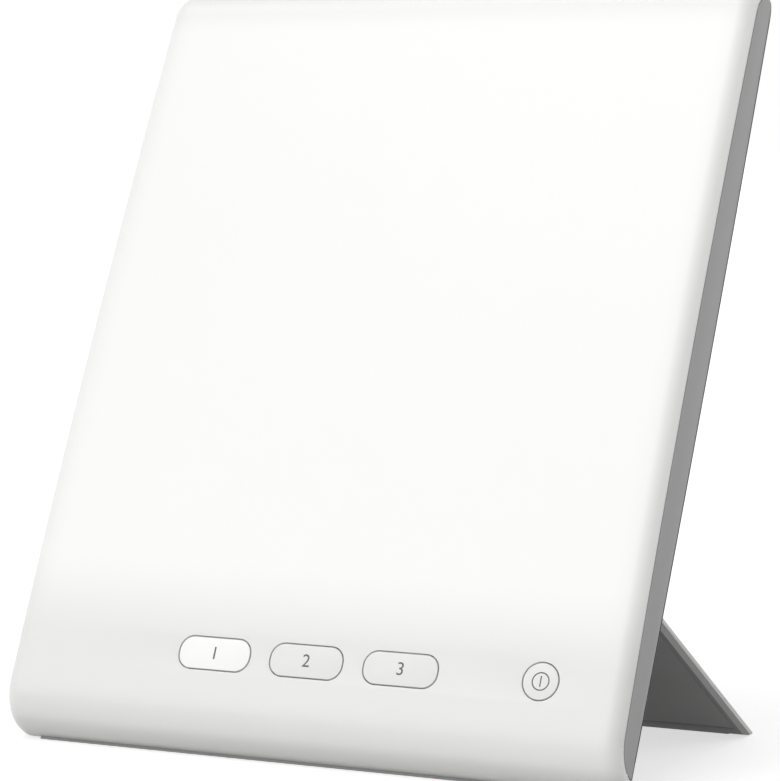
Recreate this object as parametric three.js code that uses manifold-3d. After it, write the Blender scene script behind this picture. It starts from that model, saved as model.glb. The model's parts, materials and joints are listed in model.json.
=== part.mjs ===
// A light therapy lamp: a bowed light panel that leans back on a folding support plate.
// Millimetres, +Z up. The origin lies on the table, in the middle under the lamp.

import * as THREE from "three";
import { mergeVertices } from "three/addons/utils/BufferGeometryUtils.js";
import Module from "manifold-3d";

const wasm = await Module();
wasm.setup();

// Inside the lamp, x runs across, u up along the back and t from the back plane to the front.

// Clearances
const GAP = 0.3;
const KEY_GAP = 0.2;
const SEAM_GAP = 0.5;
const OVERRUN = 5;

// Walls and edges of the shells
const SHELL_WALL = 2.2;
const HOUSING_WALL = 2;
const SEAM_INSET = 5.8;
const EDGE_ROUND = 7.5;
const LIP_DEPTH = 6;
const REAR_EDGE_ROUND = 1.2;

// How the lamp and its support plate stand
const LEAN = THREE.MathUtils.degToRad(26.3);
const SLOPE = THREE.MathUtils.degToRad(31.6);
const BASE_LIFT = 0.6;

// Support plate with its hinges in a pocket of the back
const HINGE = { height: 74.4, depth: 0.5, heelGap: 0.6, heel: 15 };
const PLATE_INSET = 5;
const PLATE = { half: 2.5, skin: 1.8, lip: 2.3, edge: 1.8 };
const POCKET = { side: 0.8, end: 1.3, play: 2.3, floor: 1.8, sink: 1 };
const POCKET_DEPTH = HINGE.depth + PLATE.half + POCKET.play;

/** One layer of the lamp in front of what it lies on, a gap away. */
function layer(behind, thickness) {
  return { back: behind + GAP, front: behind + GAP + thickness };
}

// Light panel, from the ribs behind it to the front shell
const RIB = { half: 1, rise: 1.2, start: 80, end: 6, widthShares: [-0.93, -0.47, 0.47, 0.93] };
const RIB_TOP = POCKET_DEPTH + POCKET.floor + RIB.rise;
const THICKNESS = { spreader: 1.1, reflector: 0.5, guide: 3.6, diffuser: 1.5 };
const SPREADER = layer(RIB_TOP, THICKNESS.spreader);
const REFLECTOR = layer(SPREADER.front, THICKNESS.reflector);
const GUIDE = layer(REFLECTOR.front, THICKNESS.guide);
const FRAME = { back: SPREADER.front + GAP, front: GUIDE.front + GAP, wall: 1.8, ends: 3 };
const DIFFUSER = layer(FRAME.front, THICKNESS.diffuser);
const FRONT_ROOM = 0.5;

// The whole lamp
const HALF_WIDTH = 140;
const FRONT_DEPTH = DIFFUSER.front + FRONT_ROOM + SHELL_WALL;
const FRONT_BOW = 4.2;
const REAR_BOW = 2.4;
const BOW_MIDDLE = 184;
const BEND = { bottomExtra: 0.8, topLess: 1.4, topStart: 333, rearRise: 4 };
const BOTTOM_BEND = { radius: FRONT_DEPTH + BEND.bottomExtra, start: FRONT_DEPTH };
const TOP_BEND = { radius: FRONT_DEPTH - BEND.topLess, start: BEND.topStart };
const REAR_TOP = BEND.topStart + BEND.rearRise;
const OPEN_FRONT = { low: 14, above: 1, depth: 8 };

// The support plate's length follows from the height of its hinge
const PLATE_HALF_WIDTH = HALF_WIDTH - PLATE_INSET;
const AXIS_HEIGHT = HINGE.height * Math.cos(LEAN) + HINGE.depth * Math.sin(LEAN) + BASE_LIFT;
const PLATE_LENGTH = (AXIS_HEIGHT + PLATE.half * Math.cos(SLOPE)) / Math.sin(SLOPE);
const POCKET_HALF_WIDTH = PLATE_HALF_WIDTH + POCKET.side;
const POCKET_LOW = HINGE.height - PLATE.half - HINGE.heelGap;
const POCKET_HIGH = HINGE.height + PLATE_LENGTH + POCKET.end;
const SCOOP = { halfWidth: 12, height: 9 };
const FOOT = { flat: 5.5, chamfer: 12.5, solid: 17, lift: 0.3 };
const FOOT_STRIP = { inset: 9, back: 5, front: 9.5, height: 1.9 };
const FOOT_STRIP_HALF = PLATE_HALF_WIDTH - FOOT_STRIP.inset;
const BASE_STRIP = { inset: 12, height: 2.3, depth: 3.3, flat: 1.6, toe: 0.1 };
const BASE_STRIP_HALF = HALF_WIDTH - BASE_STRIP.inset;
const PANEL_SHEET = { thickness: 0.9 };
const KNUCKLE = { inset: 29, halfWidth: 9, radius: 2.3, bore: 1.6, grip: 6.5 };
const KNUCKLE_PLACE = PLATE_HALF_WIDTH - KNUCKLE.inset;
const WASHER = { thickness: 0.8 };
const NOTCH = { side: WASHER.thickness + 2 * GAP, depth: 12 };
const BRACKET = { sheet: 1.2, height: 11, screwUp: 7.3, screwOut: 4.5 };

// Screws: a well in the housing with a seat, and a post in the shell
const SCREW = { shank: 1.3, head: 2.6, headHeight: 1.6, reach: 4.4, play: 0.4 };
const SMALL_SCREW = { shank: 1.1, head: 2.1, headHeight: 1.1, length: 5, play: 0.5 };
const WELL = { radius: SCREW.head + SCREW.play, wall: 1.2, seat: 7.3, end: 9.1 };
const SHELL_POST = { radius: 3.2, bore: SCREW.shank + GAP, inset: 8.5 };
const POST_STEPS = { low: 30, overHinge: 23.6, overPocket: 31.4, underTop: 15 };
const POST = { radius: 3, bore: SMALL_SCREW.shank + SMALL_SCREW.play, inset: 5 };
const POST_PLACE = HALF_WIDTH - SHELL_POST.inset;
const POST_HEIGHTS = [
  POST_STEPS.low,
  HINGE.height + POST_STEPS.overHinge,
  POCKET_HIGH + POST_STEPS.overPocket,
  TOP_BEND.start - POST_STEPS.underTop,
];

// Keys in the front
const KEY_HEIGHT = 36.6;
const PILL = { width: 33.2, height: 13.9, radius: 6.2, spacing: 9.3 };
const PILL_PITCH = PILL.width + PILL.spacing;
const POWER = { radius: 7.7, inset: 36.5 };
const POWER_PLACE = HALF_WIDTH - POWER.inset;
const TRAVEL = 0.6;
const CAP = { flange: 1.6, flangeThickness: 1.2, plunger: 1.5, reach: 0.9, stemGap: 0.1 };
const BAFFLE = { clearance: 0.5, wall: 1.2, bar: 1.5, barRise: 2.2 };
const SWITCH = { half: 3, stem: 1.6, stemRise: 0.5, bodyHeight: 1.5 };
const FLANGE_EDGE = KEY_HEIGHT - PILL.height / 2 - CAP.flange;
const FLANGE_HIGH = frontPoint(FLANGE_EDGE, SHELL_WALL + GAP).y;
const FLANGE_LOW = FLANGE_HIGH - CAP.flangeThickness;
const CAP_FOOT = FLANGE_LOW - CAP.reach;
const STEM_TOP = CAP_FOOT - TRAVEL - CAP.stemGap;
const SWITCH_TOP = STEM_TOP - SWITCH.stemRise;

// Light panel, across and up
const LIGHT_MARGIN = { keys: 21.4, top: 2, posts: 1.8 };
const LIGHT = {
  low: KEY_HEIGHT + LIGHT_MARGIN.keys,
  high: TOP_BEND.start - LIGHT_MARGIN.top,
  halfWidth: POST_PLACE - SHELL_POST.radius - LIGHT_MARGIN.posts,
};
const STRIP = { thickness: 1.1, margin: 6 };
const STRIP_OUTER = LIGHT.halfWidth - FRAME.wall - GAP;
const STRIP_INNER = STRIP_OUTER - STRIP.thickness;
const CHIP = { thickness: 1.4, height: 2.8, depth: 2.6, count: 22 };
const CHIP_FACE = STRIP_INNER - CHIP.thickness + GAP;
const GUIDE_EDGE = { halfWidth: CHIP_FACE - GAP, margin: 4 };

// Boards
const BOARD = { thickness: 1.6, below: 14.6, above: 15.4, left: 16.9, right: 11.8 };
const CONTROL = {
  left: -PILL_PITCH - PILL.width / 2 - BOARD.left,
  right: POWER_PLACE + POWER.radius + BOARD.right,
  low: KEY_HEIGHT - BOARD.below,
  high: KEY_HEIGHT + BOARD.above,
  back: SWITCH_TOP - SWITCH.bodyHeight - GAP - BOARD.thickness,
  front: SWITCH_TOP - SWITCH.bodyHeight - GAP,
};
const KEY_LAMP = { offset: 10, half: 1.5, height: 1.2 };
const DRIVER_EDGE = { left: 16, right: 19, below: 6, above: 1, back: 3.6 };
const DRIVER = {
  left: CONTROL.left + DRIVER_EDGE.left,
  right: CONTROL.right - DRIVER_EDGE.right,
  low: CONTROL.low - DRIVER_EDGE.below,
  high: CONTROL.high + DRIVER_EDGE.above,
  back: DRIVER_EDGE.back,
  front: DRIVER_EDGE.back + BOARD.thickness,
};
const DRIVER_PARTS = {
  plug: { widthShares: [0.06, 0.9], above: 24, half: 3, height: 3 },
  chip: { widthShares: [0.33, 0.46, 0.57], above: 11, half: 3, height: 1.4 },
  ribbonPlug: { half: 10 },
};
const INDUCTOR = { widthShare: 0.77, above: 16, radius: 5.2, tube: 2.2 };
const CAPACITOR = { widthShare: 0.17, half: 8, radius: 2.4, above: [10, 18] };
const CONTROL_POSTS = { left: 6, right: 4.2 };

// Inlet in the back
const INLET = { beside: 19, above: 1.4, mouth: 5.5, wall: 1.5, depth: 3.9 };
const INLET_PLACE = CONTROL.left - INLET.beside;
const INLET_HEIGHT = KEY_HEIGHT + INLET.above;
const SOCKET = { half: 7, length: 8.8, bore: 3.2, boreDepth: 7, pin: 1 };
const SOCKET_BACK = INLET.depth + GAP;

// Wires
const WIRE = { radius: 0.8, sides: 8, steps: 26, above: 3, rise: 1.8, bend: 3.2, notch: 1.3 };
const RIBBON = { widthShare: 0.6, half: 8, thickness: 0.6, below: 7, rise: 1.2, reach: 2 };

// Fineness of curves
const BEND_STEPS = 8;
const FACE_STEPS = 12;
const ROUND_STEPS = 5;
const BORE_SIDES = 20;

const FINISH = {
  opal: { color: "#efefed", roughness: 0.35, metalness: 0 },
  grey: { color: "#959593", roughness: 0.5, metalness: 0 },
  lip: { color: "#7b7b7a", roughness: 0.5, metalness: 0 },
  dark: { color: "#555555", roughness: 0.6, metalness: 0 },
  rubber: { color: "#3a3a3a", roughness: 0.9, metalness: 0 },
  white: { color: "#f4f4f1", roughness: 0.5, metalness: 0 },
  clear: { color: "#e8f2f4", roughness: 0.05, metalness: 0 },
  silver: { color: "#c8cacc", roughness: 0.35, metalness: 0.9 },
  steel: { color: "#9ea2a6", roughness: 0.3, metalness: 1 },
  board: { color: "#1f5a3a", roughness: 0.5, metalness: 0 },
  black: { color: "#202022", roughness: 0.5, metalness: 0 },
  copper: { color: "#b06a3c", roughness: 0.4, metalness: 0.8 },
  amber: { color: "#f1e3a4", roughness: 0.3, metalness: 0 },
  red: { color: "#a83228", roughness: 0.5, metalness: 0 },
};

// Solids

/** The closed solid of a three.js geometry. */
function solid(geometry) {
  const bare = new THREE.BufferGeometry();
  const source = geometry.index ? geometry.toNonIndexed() : geometry;
  bare.setAttribute("position", source.getAttribute("position").clone());
  const merged = mergeVertices(bare);
  const vertProperties = new Float32Array(merged.attributes.position.array);
  const triVerts = new Uint32Array(merged.index.array);
  return new wasm.Manifold(new wasm.Mesh({ numProp: 3, vertProperties, triVerts }));
}

/** The three.js geometry of a solid. */
function surface(body) {
  const mesh = body.getMesh();
  const geometry = new THREE.BufferGeometry();
  geometry.setAttribute("position", new THREE.BufferAttribute(mesh.vertProperties, mesh.numProp));
  geometry.setIndex(new THREE.BufferAttribute(mesh.triVerts, 1));
  return geometry;
}

/** One solid of several that meet or cross. */
function join(...bodies) {
  return bodies.reduce((whole, body) => whole.add(body));
}

/** A solid less each of the others. */
function cut(body, ...others) {
  return others.reduce((rest, other) => rest.subtract(other), body);
}

/** A block between two values along x, t and u. */
function block([left, right], [back, front], [low, high]) {
  const geometry = new THREE.BoxGeometry(right - left, front - back, high - low);
  geometry.translate((left + right) / 2, -(back + front) / 2, (low + high) / 2);
  return solid(geometry);
}

/** The pair of values on both sides of a middle. */
function about(middle, half) {
  return [middle - half, middle + half];
}

/** A flat shape in x and u, drawn out along t. */
function alongT(shape, back, front) {
  const options = { depth: front - back, bevelEnabled: false, curveSegments: ROUND_STEPS };
  const geometry = new THREE.ExtrudeGeometry(shape, options);
  geometry.rotateX(Math.PI / 2);
  geometry.translate(0, -back, 0);
  return solid(geometry);
}

/** A round rod along t, at a place in x and u. */
function rodT(x, u, radius, back, front) {
  const geometry = new THREE.CylinderGeometry(radius, radius, front - back, BORE_SIDES);
  geometry.translate(x, -(back + front) / 2, u);
  return solid(geometry);
}

/** A round rod along x, at a place in y and z. */
function rodX(left, right, radius, y, z) {
  const geometry = new THREE.CylinderGeometry(radius, radius, right - left, BORE_SIDES);
  geometry.rotateZ(Math.PI / 2);
  geometry.translate((left + right) / 2, y, z);
  return solid(geometry);
}

/** A solid through outlines in u and t that all have one number of points, each at its own x. */
function loft(stations) {
  const count = stations[0].outline.length;
  const positions = [];
  const index = [];
  const backwards = THREE.ShapeUtils.isClockWise(stations[0].outline);
  for (const { x, outline } of stations) {
    const points = backwards ? [...outline].reverse() : outline;
    for (const point of points) positions.push(x, -point.y, point.x);
  }
  for (let row = 0; row + 1 < stations.length; row += 1) {
    for (let column = 0; column < count; column += 1) {
      const a = row * count + column;
      const b = row * count + ((column + 1) % count);
      index.push(a, b, b + count, a, b + count, a + count);
    }
  }
  const first = backwards ? [...stations[0].outline].reverse() : stations[0].outline;
  const last = (stations.length - 1) * count;
  for (const [a, b, c] of THREE.ShapeUtils.triangulateShape(first, [])) {
    index.push(a, c, b);
    index.push(last + a, last + b, last + c);
  }
  const geometry = new THREE.BufferGeometry();
  geometry.setAttribute("position", new THREE.Float32BufferAttribute(positions, 3));
  geometry.setIndex(index);
  return solid(geometry);
}

/** The bar of one outline in u and t between two values of x. */
function bar(outline, left, right) {
  return loft([{ x: left, outline }, { x: right, outline }]);
}

// The lamp's profile

/** How far a bow of a given height stands out at a height up the back. */
function bow(u, height) {
  const share = (u - BOW_MIDDLE) / BOW_MIDDLE;
  return height * (1 - share * share);
}

/** The unit normal of the bowed front at a height up the back. */
function frontNormal(u) {
  const slope = (-2 * FRONT_BOW * (u - BOW_MIDDLE)) / BOW_MIDDLE ** 2;
  return new THREE.Vector2(-slope, 1).normalize();
}

/** A point under the bowed front by an inset. */
function frontPoint(u, inset) {
  const onFace = new THREE.Vector2(u, FRONT_DEPTH + bow(u, FRONT_BOW));
  return onFace.addScaledVector(frontNormal(u), -inset);
}

/** Points on an arc in u and t, both ends included. */
function arc(centre, width, height, from, to, steps) {
  return Array.from({ length: steps + 1 }, (_, step) => {
    const angle = from + ((to - from) * step) / steps;
    return new THREE.Vector2(centre.x + width * Math.cos(angle), centre.y + height * Math.sin(angle));
  });
}

const BOTTOM_CENTRE = frontPoint(BOTTOM_BEND.start, BOTTOM_BEND.radius);
const TOP_CENTRE = frontPoint(TOP_BEND.start, TOP_BEND.radius);

/** The lamp's outline from its base edge, up the front and over the top, drawn in by an inset. */
function frontCurve(inset) {
  const low = BOTTOM_BEND.radius - inset;
  const high = TOP_BEND.radius - inset;
  const lowEnd = frontNormal(BOTTOM_BEND.start).angle();
  const highEnd = frontNormal(TOP_BEND.start).angle();
  const face = [];
  for (let step = 1; step < FACE_STEPS; step += 1) {
    const u = THREE.MathUtils.lerp(BOTTOM_BEND.start, TOP_BEND.start, step / FACE_STEPS);
    face.push(frontPoint(u, inset));
  }
  return [
    ...arc(BOTTOM_CENTRE, low, low, Math.PI, lowEnd, BEND_STEPS),
    ...face,
    ...arc(TOP_CENTRE, high, high, highEnd, 0, BEND_STEPS),
  ];
}

/** The profile ahead of the housing's back, which is drawn in by an inset. */
function aheadOfBack(inset) {
  const top = TOP_CENTRE.x + TOP_BEND.radius - SEAM_INSET - SEAM_GAP / 2;
  const centre = new THREE.Vector2(REAR_TOP, TOP_CENTRE.y);
  const fall = TOP_CENTRE.y + bow(REAR_TOP, REAR_BOW) - inset;
  const curve = arc(centre, top - REAR_TOP, fall, 0, -Math.PI / 2, ROUND_STEPS);
  for (let step = 1; step <= FACE_STEPS; step += 1) {
    const u = THREE.MathUtils.lerp(REAR_TOP, -OVERRUN, step / FACE_STEPS);
    curve.push(new THREE.Vector2(u, inset - bow(u, REAR_BOW)));
  }
  const far = FRONT_DEPTH + FRONT_BOW + OVERRUN;
  curve.push(new THREE.Vector2(-OVERRUN, far), new THREE.Vector2(top, far));
  return curve;
}

/** Places across the lamp with the inset that rounds both side edges there. */
function roundedSides(halfWidth, round, inset, edgeInset) {
  const sides = [];
  for (let step = 0; step <= ROUND_STEPS; step += 1) {
    const angle = (Math.PI / 2) * (step / ROUND_STEPS);
    const x = halfWidth - round + round * Math.sin(angle);
    sides.push({ x, inset: inset + (edgeInset - inset) * (1 - Math.cos(angle)) });
  }
  const mirrored = sides.map((side) => ({ x: -side.x, inset: side.inset })).reverse();
  return [...mirrored, ...sides];
}

/** The solid under the front surface, with rounded side edges. */
function underFront(halfWidth, round, inset, edgeInset) {
  const sides = roundedSides(halfWidth, round, inset, edgeInset);
  return loft(sides.map((side) => ({ x: side.x, outline: frontCurve(side.inset) })));
}

/** The profile under the front by an inset, carried past the back. */
function behindFront(inset) {
  const curve = frontCurve(inset);
  const high = new THREE.Vector2(curve.at(-1).x, -OVERRUN);
  const low = new THREE.Vector2(curve[0].x, -OVERRUN);
  return [...curve, high, low];
}

// Keys

/** A stadium-like outline in x and u about a centre, grown by a margin. */
function pillShape(x, margin) {
  const half = { x: PILL.width / 2 + margin, u: PILL.height / 2 + margin };
  const radius = PILL.radius + margin;
  const shape = new THREE.Shape();
  const corners = [
    [x + half.x - radius, KEY_HEIGHT - half.u + radius, -Math.PI / 2],
    [x + half.x - radius, KEY_HEIGHT + half.u - radius, 0],
    [x - half.x + radius, KEY_HEIGHT + half.u - radius, Math.PI / 2],
    [x - half.x + radius, KEY_HEIGHT - half.u + radius, Math.PI],
  ];
  for (const [cx, cu, start] of corners) shape.absarc(cx, cu, radius, start, start + Math.PI / 2, false);
  return shape;
}

/** A circle in x and u about the power key's centre, grown by a margin. */
function powerShape(margin) {
  const shape = new THREE.Shape();
  const sides = 2 * BORE_SIDES;
  const radius = POWER.radius + margin;
  const points = Array.from({ length: sides }, (_, side) => {
    const angle = (2 * Math.PI * side) / sides;
    const x = POWER_PLACE + radius * Math.cos(angle);
    return new THREE.Vector2(x, KEY_HEIGHT + radius * Math.sin(angle));
  });
  return shape.setFromPoints(points);
}

const KEYS = [
  { name: "left", place: -PILL_PITCH, shape: (margin) => pillShape(-PILL_PITCH, margin) },
  { name: "middle", place: 0, shape: (margin) => pillShape(0, margin) },
  { name: "right", place: PILL_PITCH, shape: (margin) => pillShape(PILL_PITCH, margin) },
  { name: "power", place: POWER_PLACE, shape: powerShape },
];

/** A push key: a cap flush with the front, a flange behind the shell and a plunger. */
function keyCap(key) {
  const frontSolid = underFront(HALF_WIDTH, EDGE_ROUND, 0, SEAM_INSET);
  const outer = alongT(key.shape(-KEY_GAP), FLANGE_LOW, FRONT_DEPTH + OVERRUN).intersect(frontSolid);
  const flange = alongT(key.shape(CAP.flange), FLANGE_LOW, FLANGE_HIGH);
  const plunger = rodT(key.place, KEY_HEIGHT, CAP.plunger, CAP_FOOT, FLANGE_HIGH);
  return join(outer, flange, plunger);
}

/** Walls round the keys that keep each key's light to itself, joined by bars. */
function keyBaffles() {
  const inner = CAP.flange + BAFFLE.clearance;
  const back = CONTROL.front + GAP;
  const walls = KEYS.map((key) => alongT(key.shape(inner + BAFFLE.wall), back, FLANGE_HIGH - GAP));
  const span = [-PILL_PITCH, POWER_PLACE];
  const link = block(span, [back, back + BAFFLE.barRise], about(KEY_HEIGHT, BAFFLE.bar));
  const rooms = KEYS.map((key) => alongT(key.shape(inner), 0, FRONT_DEPTH));
  return cut(join(link, ...walls), ...rooms);
}

// Shells

/** Where the housing screws go. */
function screwPlaces() {
  return [-POST_PLACE, POST_PLACE].flatMap((x) => POST_HEIGHTS.map((u) => ({ x, u })));
}

/** The rubber strip's profile under the base edge, cut flat at the table. */
function baseStripOutline(clearance) {
  const flatAt = (t) => -(BASE_LIFT + t * Math.sin(LEAN)) / Math.cos(LEAN);
  return [
    new THREE.Vector2(BASE_STRIP.height + clearance, -clearance),
    new THREE.Vector2(flatAt(0) - clearance, -clearance),
    new THREE.Vector2(flatAt(BASE_STRIP.flat) - clearance, BASE_STRIP.flat),
    new THREE.Vector2(BASE_STRIP.toe - clearance, BASE_STRIP.depth + clearance),
    new THREE.Vector2(BASE_STRIP.height + clearance, BASE_STRIP.depth + clearance),
  ];
}

/** The opal front shell, with key holes and screw posts. */
function frontCover() {
  const outside = underFront(HALF_WIDTH, EDGE_ROUND, 0, SEAM_INSET);
  const halfRoom = HALF_WIDTH - SHELL_WALL;
  const roundRoom = EDGE_ROUND - SHELL_WALL;
  const room = underFront(halfRoom, roundRoom, SHELL_WALL, SEAM_INSET + SEAM_GAP);
  const lip = TOP_CENTRE.y + LIP_DEPTH;
  const half = HALF_WIDTH + OVERRUN;
  const tall = [-OVERRUN, TOP_CENTRE.x + TOP_BEND.radius + OVERRUN];
  const deepRoom = room.intersect(block([-half, half], [lip, FRONT_DEPTH + FRONT_BOW], tall));
  const behind = bar(behindFront(SEAM_INSET - SEAM_GAP / 2), -half, half);
  const holes = KEYS.map((key) => alongT(key.shape(KEY_GAP), lip, FRONT_DEPTH + OVERRUN));
  const groove = bar(baseStripOutline(GAP), -BASE_STRIP_HALF - GAP, BASE_STRIP_HALF + GAP);
  const shell = cut(outside, behind, deepRoom, groove, ...holes);
  const posts = screwPlaces().map(({ x, u }) => {
    const front = FRONT_DEPTH + bow(u, FRONT_BOW) - SHELL_WALL / 2;
    return rodT(x, u, SHELL_POST.radius, WELL.end + GAP, front);
  });
  const bores = screwPlaces().map(({ x, u }) => rodT(x, u, SHELL_POST.bore, 0, WELL.end + SCREW.reach + GAP));
  return cut(join(shell, ...posts), ...bores);
}

/** The posts that carry a board, each a round rod on the back wall. */
function boardPosts(places, top) {
  return places.map(([x, u]) => rodT(x, u, POST.radius, -HOUSING_WALL / 2, top));
}

/** Bores in the ends of a board's posts. */
function boardBores(places, top) {
  return places.map(([x, u]) => rodT(x, u, POST.bore, top - SMALL_SCREW.length, top + OVERRUN));
}

const DRIVER_PLACES = [
  [DRIVER.left + POST.inset, DRIVER.low + POST.inset],
  [DRIVER.right - POST.inset, DRIVER.high - POST.inset],
];
const CONTROL_PLACES = [
  [CONTROL.left + CONTROL_POSTS.left, KEY_HEIGHT],
  [CONTROL.right - CONTROL_POSTS.right, KEY_HEIGHT],
];

/** Where the hinge brackets' screws go, as x and u. */
function hingeScrewPlaces(side) {
  const u = HINGE.height + BRACKET.screwUp;
  return about(side * KNUCKLE_PLACE, BRACKET.screwOut).map((x) => [x, u]);
}

/** The grey rear housing: side band, bowed back, stand pocket, wells, posts and ribs. */
function rearHousing() {
  const seam = SEAM_INSET + SEAM_GAP / 2;
  const sides = roundedSides(HALF_WIDTH, REAR_EDGE_ROUND, 0, REAR_EDGE_ROUND);
  const ahead = loft(sides.map(({ x, inset }) => ({ x, outline: aheadOfBack(inset) })));
  const outside = bar(behindFront(seam), -HALF_WIDTH, HALF_WIDTH).intersect(ahead);
  const halfRoom = HALF_WIDTH - SHELL_WALL;
  const insideWall = bar(behindFront(seam + HOUSING_WALL), -halfRoom, halfRoom);
  const room = insideWall.intersect(bar(aheadOfBack(HOUSING_WALL), -halfRoom, halfRoom));
  const front = [OPEN_FRONT.depth, FRONT_DEPTH + OVERRUN];
  const mouth = block([-halfRoom, halfRoom], front, [OPEN_FRONT.low, REAR_TOP + OPEN_FRONT.above]);
  const tray = cut(outside, room, mouth);
  const behind = POCKET_DEPTH + POCKET.floor;
  const step = [POCKET_LOW - HOUSING_WALL, POCKET_HIGH + HOUSING_WALL];
  const tub = block(about(0, halfRoom + HOUSING_WALL / 2), [-POCKET.sink, behind], step);
  const scoopTub = block(
    about(0, SCOOP.halfWidth + HOUSING_WALL),
    [-POCKET.sink, behind],
    [POCKET_HIGH, POCKET_HIGH + SCOOP.height + HOUSING_WALL],
  );
  const ribs = RIB.widthShares.map((share) => {
    const across = about(share * LIGHT.halfWidth, RIB.half);
    return block(across, [-POCKET.sink, RIB_TOP], [RIB.start, LIGHT.high - RIB.end]);
  });
  const wells = screwPlaces().map(({ x, u }) => {
    return rodT(x, u, WELL.radius + WELL.wall, -POCKET.sink, WELL.end);
  });
  const inletWell = rodT(INLET_PLACE, INLET_HEIGHT, INLET.mouth + INLET.wall, -POCKET.sink, INLET.depth);
  const hingeBosses = [-1, 1].flatMap((side) =>
    hingeScrewPlaces(side).map(([x, u]) => rodT(x, u, POST.radius, POCKET_DEPTH, RIB_TOP)),
  );
  const posts = [
    ...boardPosts(DRIVER_PLACES, DRIVER.back - GAP),
    ...boardPosts(CONTROL_PLACES, CONTROL.back - GAP),
  ];
  const full = join(tray, tub, scoopTub, ...ribs, ...wells, inletWell, ...hingeBosses, ...posts);
  const pocket = block(about(0, POCKET_HALF_WIDTH), [-OVERRUN, POCKET_DEPTH], [POCKET_LOW, POCKET_HIGH]);
  const scoop = block(
    about(0, SCOOP.halfWidth),
    [-OVERRUN, POCKET_DEPTH],
    [POCKET_HIGH - SCOOP.height, POCKET_HIGH + SCOOP.height],
  );
  const wellRooms = screwPlaces().map(({ x, u }) => rodT(x, u, WELL.radius, -OVERRUN, WELL.seat));
  const screwHoles = screwPlaces().map(({ x, u }) => rodT(x, u, SCREW.shank + SCREW.play, 0, FRONT_DEPTH));
  const inlet = rodT(INLET_PLACE, INLET_HEIGHT, INLET.mouth, -OVERRUN, SOCKET_BACK);
  const bracketBores = [-1, 1].flatMap((side) =>
    hingeScrewPlaces(side).map(([x, u]) => rodT(x, u, POST.bore, 0, RIB_TOP - HOUSING_WALL / 2)),
  );
  const bores = [
    ...boardBores(DRIVER_PLACES, DRIVER.back),
    ...boardBores(CONTROL_PLACES, CONTROL.back),
  ].map((bore) => bore.intersect(block(about(0, HALF_WIDTH), [0, FRONT_DEPTH], [0, POCKET_LOW])));
  return cut(full, pocket, scoop, ...wellRooms, ...screwHoles, inlet, ...bracketBores, ...bores);
}

// Light panel

/** A flat sheet of the light panel, drawn in from the panel's outline by a margin. */
function sheet({ back, front }, halfWidth, margin) {
  return block(about(0, halfWidth), [back, front], [LIGHT.low + margin, LIGHT.high - margin]);
}

/** The moulded frame round the light guide, with a notch for each pair of wires. */
function panelFrame() {
  const outer = sheet(FRAME, LIGHT.halfWidth, 0);
  const inner = block(
    about(0, LIGHT.halfWidth - FRAME.wall),
    [0, FRONT_DEPTH],
    [LIGHT.low + FRAME.ends, LIGHT.high - FRAME.ends],
  );
  const middle = (STRIP_INNER + STRIP_OUTER) / 2;
  const through = [(GUIDE.back + GUIDE.front) / 2 - WIRE.notch, FRONT_DEPTH];
  const notches = [-middle, middle].map((x) => {
    return block(about(x, WIRE.notch), through, [0, LIGHT.low + FRAME.ends + GAP]);
  });
  return cut(outer, inner, ...notches);
}

/** One strip of light-emitting chips, at the guide's side edge. */
function ledStrip(side) {
  const low = LIGHT.low + STRIP.margin;
  const length = LIGHT.high - STRIP.margin - low;
  const middle = (side * (STRIP_INNER + STRIP_OUTER)) / 2;
  const depths = [GUIDE.back, GUIDE.front];
  const strip = block(about(middle, STRIP.thickness / 2), depths, [low, low + length]);
  const chips = Array.from({ length: CHIP.count }, (_, index) => {
    const u = low + (length * (index + 1 / 2)) / CHIP.count;
    const depth = about((GUIDE.back + GUIDE.front) / 2, CHIP.depth / 2);
    const across = about(side * (CHIP_FACE + CHIP.thickness / 2), CHIP.thickness / 2);
    return block(across, depth, about(u, CHIP.height / 2));
  });
  return join(strip, ...chips);
}

// Boards

/** A circuit board with a hole for each of its screws and what is soldered to its front. */
function board({ left, right, low, high, back, front }, places, soldered) {
  const holes = places.map(([x, u]) => rodT(x, u, POST.bore, back - OVERRUN, front + OVERRUN));
  return join(cut(block([left, right], [back, front], [low, high]), ...holes), ...soldered);
}

/** A component on a board's front: its middle, half sizes and height. */
function component(front, x, u, halfX, halfU, height) {
  return block(about(x, halfX), [front - GAP, front + height], about(u, halfU));
}

/** The push switch behind a key, with the stem at its pressed height. */
function keySwitch({ place }) {
  const back = CONTROL.front + GAP;
  const body = block(about(place, SWITCH.half), [back, SWITCH_TOP], about(KEY_HEIGHT, SWITCH.half));
  return join(body, rodT(place, KEY_HEIGHT, SWITCH.stem, back, STEM_TOP));
}

/** The control board, with a small lamp beside the switch of each pill key. */
function controlBoard() {
  const { offset, half, height } = KEY_LAMP;
  const lamps = KEYS.slice(0, -1).map(({ place }) => {
    return component(CONTROL.front, place + offset, KEY_HEIGHT, half, half, height);
  });
  return board(CONTROL, CONTROL_PLACES, lamps);
}

/** A place across the driver board, as a share of its width. */
function acrossDriver(widthShare) {
  return THREE.MathUtils.lerp(DRIVER.left, DRIVER.right, widthShare);
}

/** The driver board, with its chips and the plugs of the wires and the ribbon. */
function driverBoard() {
  const { plug, chip, ribbonPlug } = DRIVER_PARTS;
  const parts = [plug, chip].flatMap(({ widthShares, above, half, height }) =>
    widthShares.map((share) => {
      return component(DRIVER.front, acrossDriver(share), DRIVER.low + above, half, half, height);
    }),
  );
  const middle = acrossDriver(RIBBON.widthShare);
  const up = DRIVER.high - RIBBON.below;
  const socket = component(DRIVER.front, middle, up, ribbonPlug.half, plug.half, plug.height);
  return board(DRIVER, DRIVER_PLACES, [...parts, socket]);
}

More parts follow.
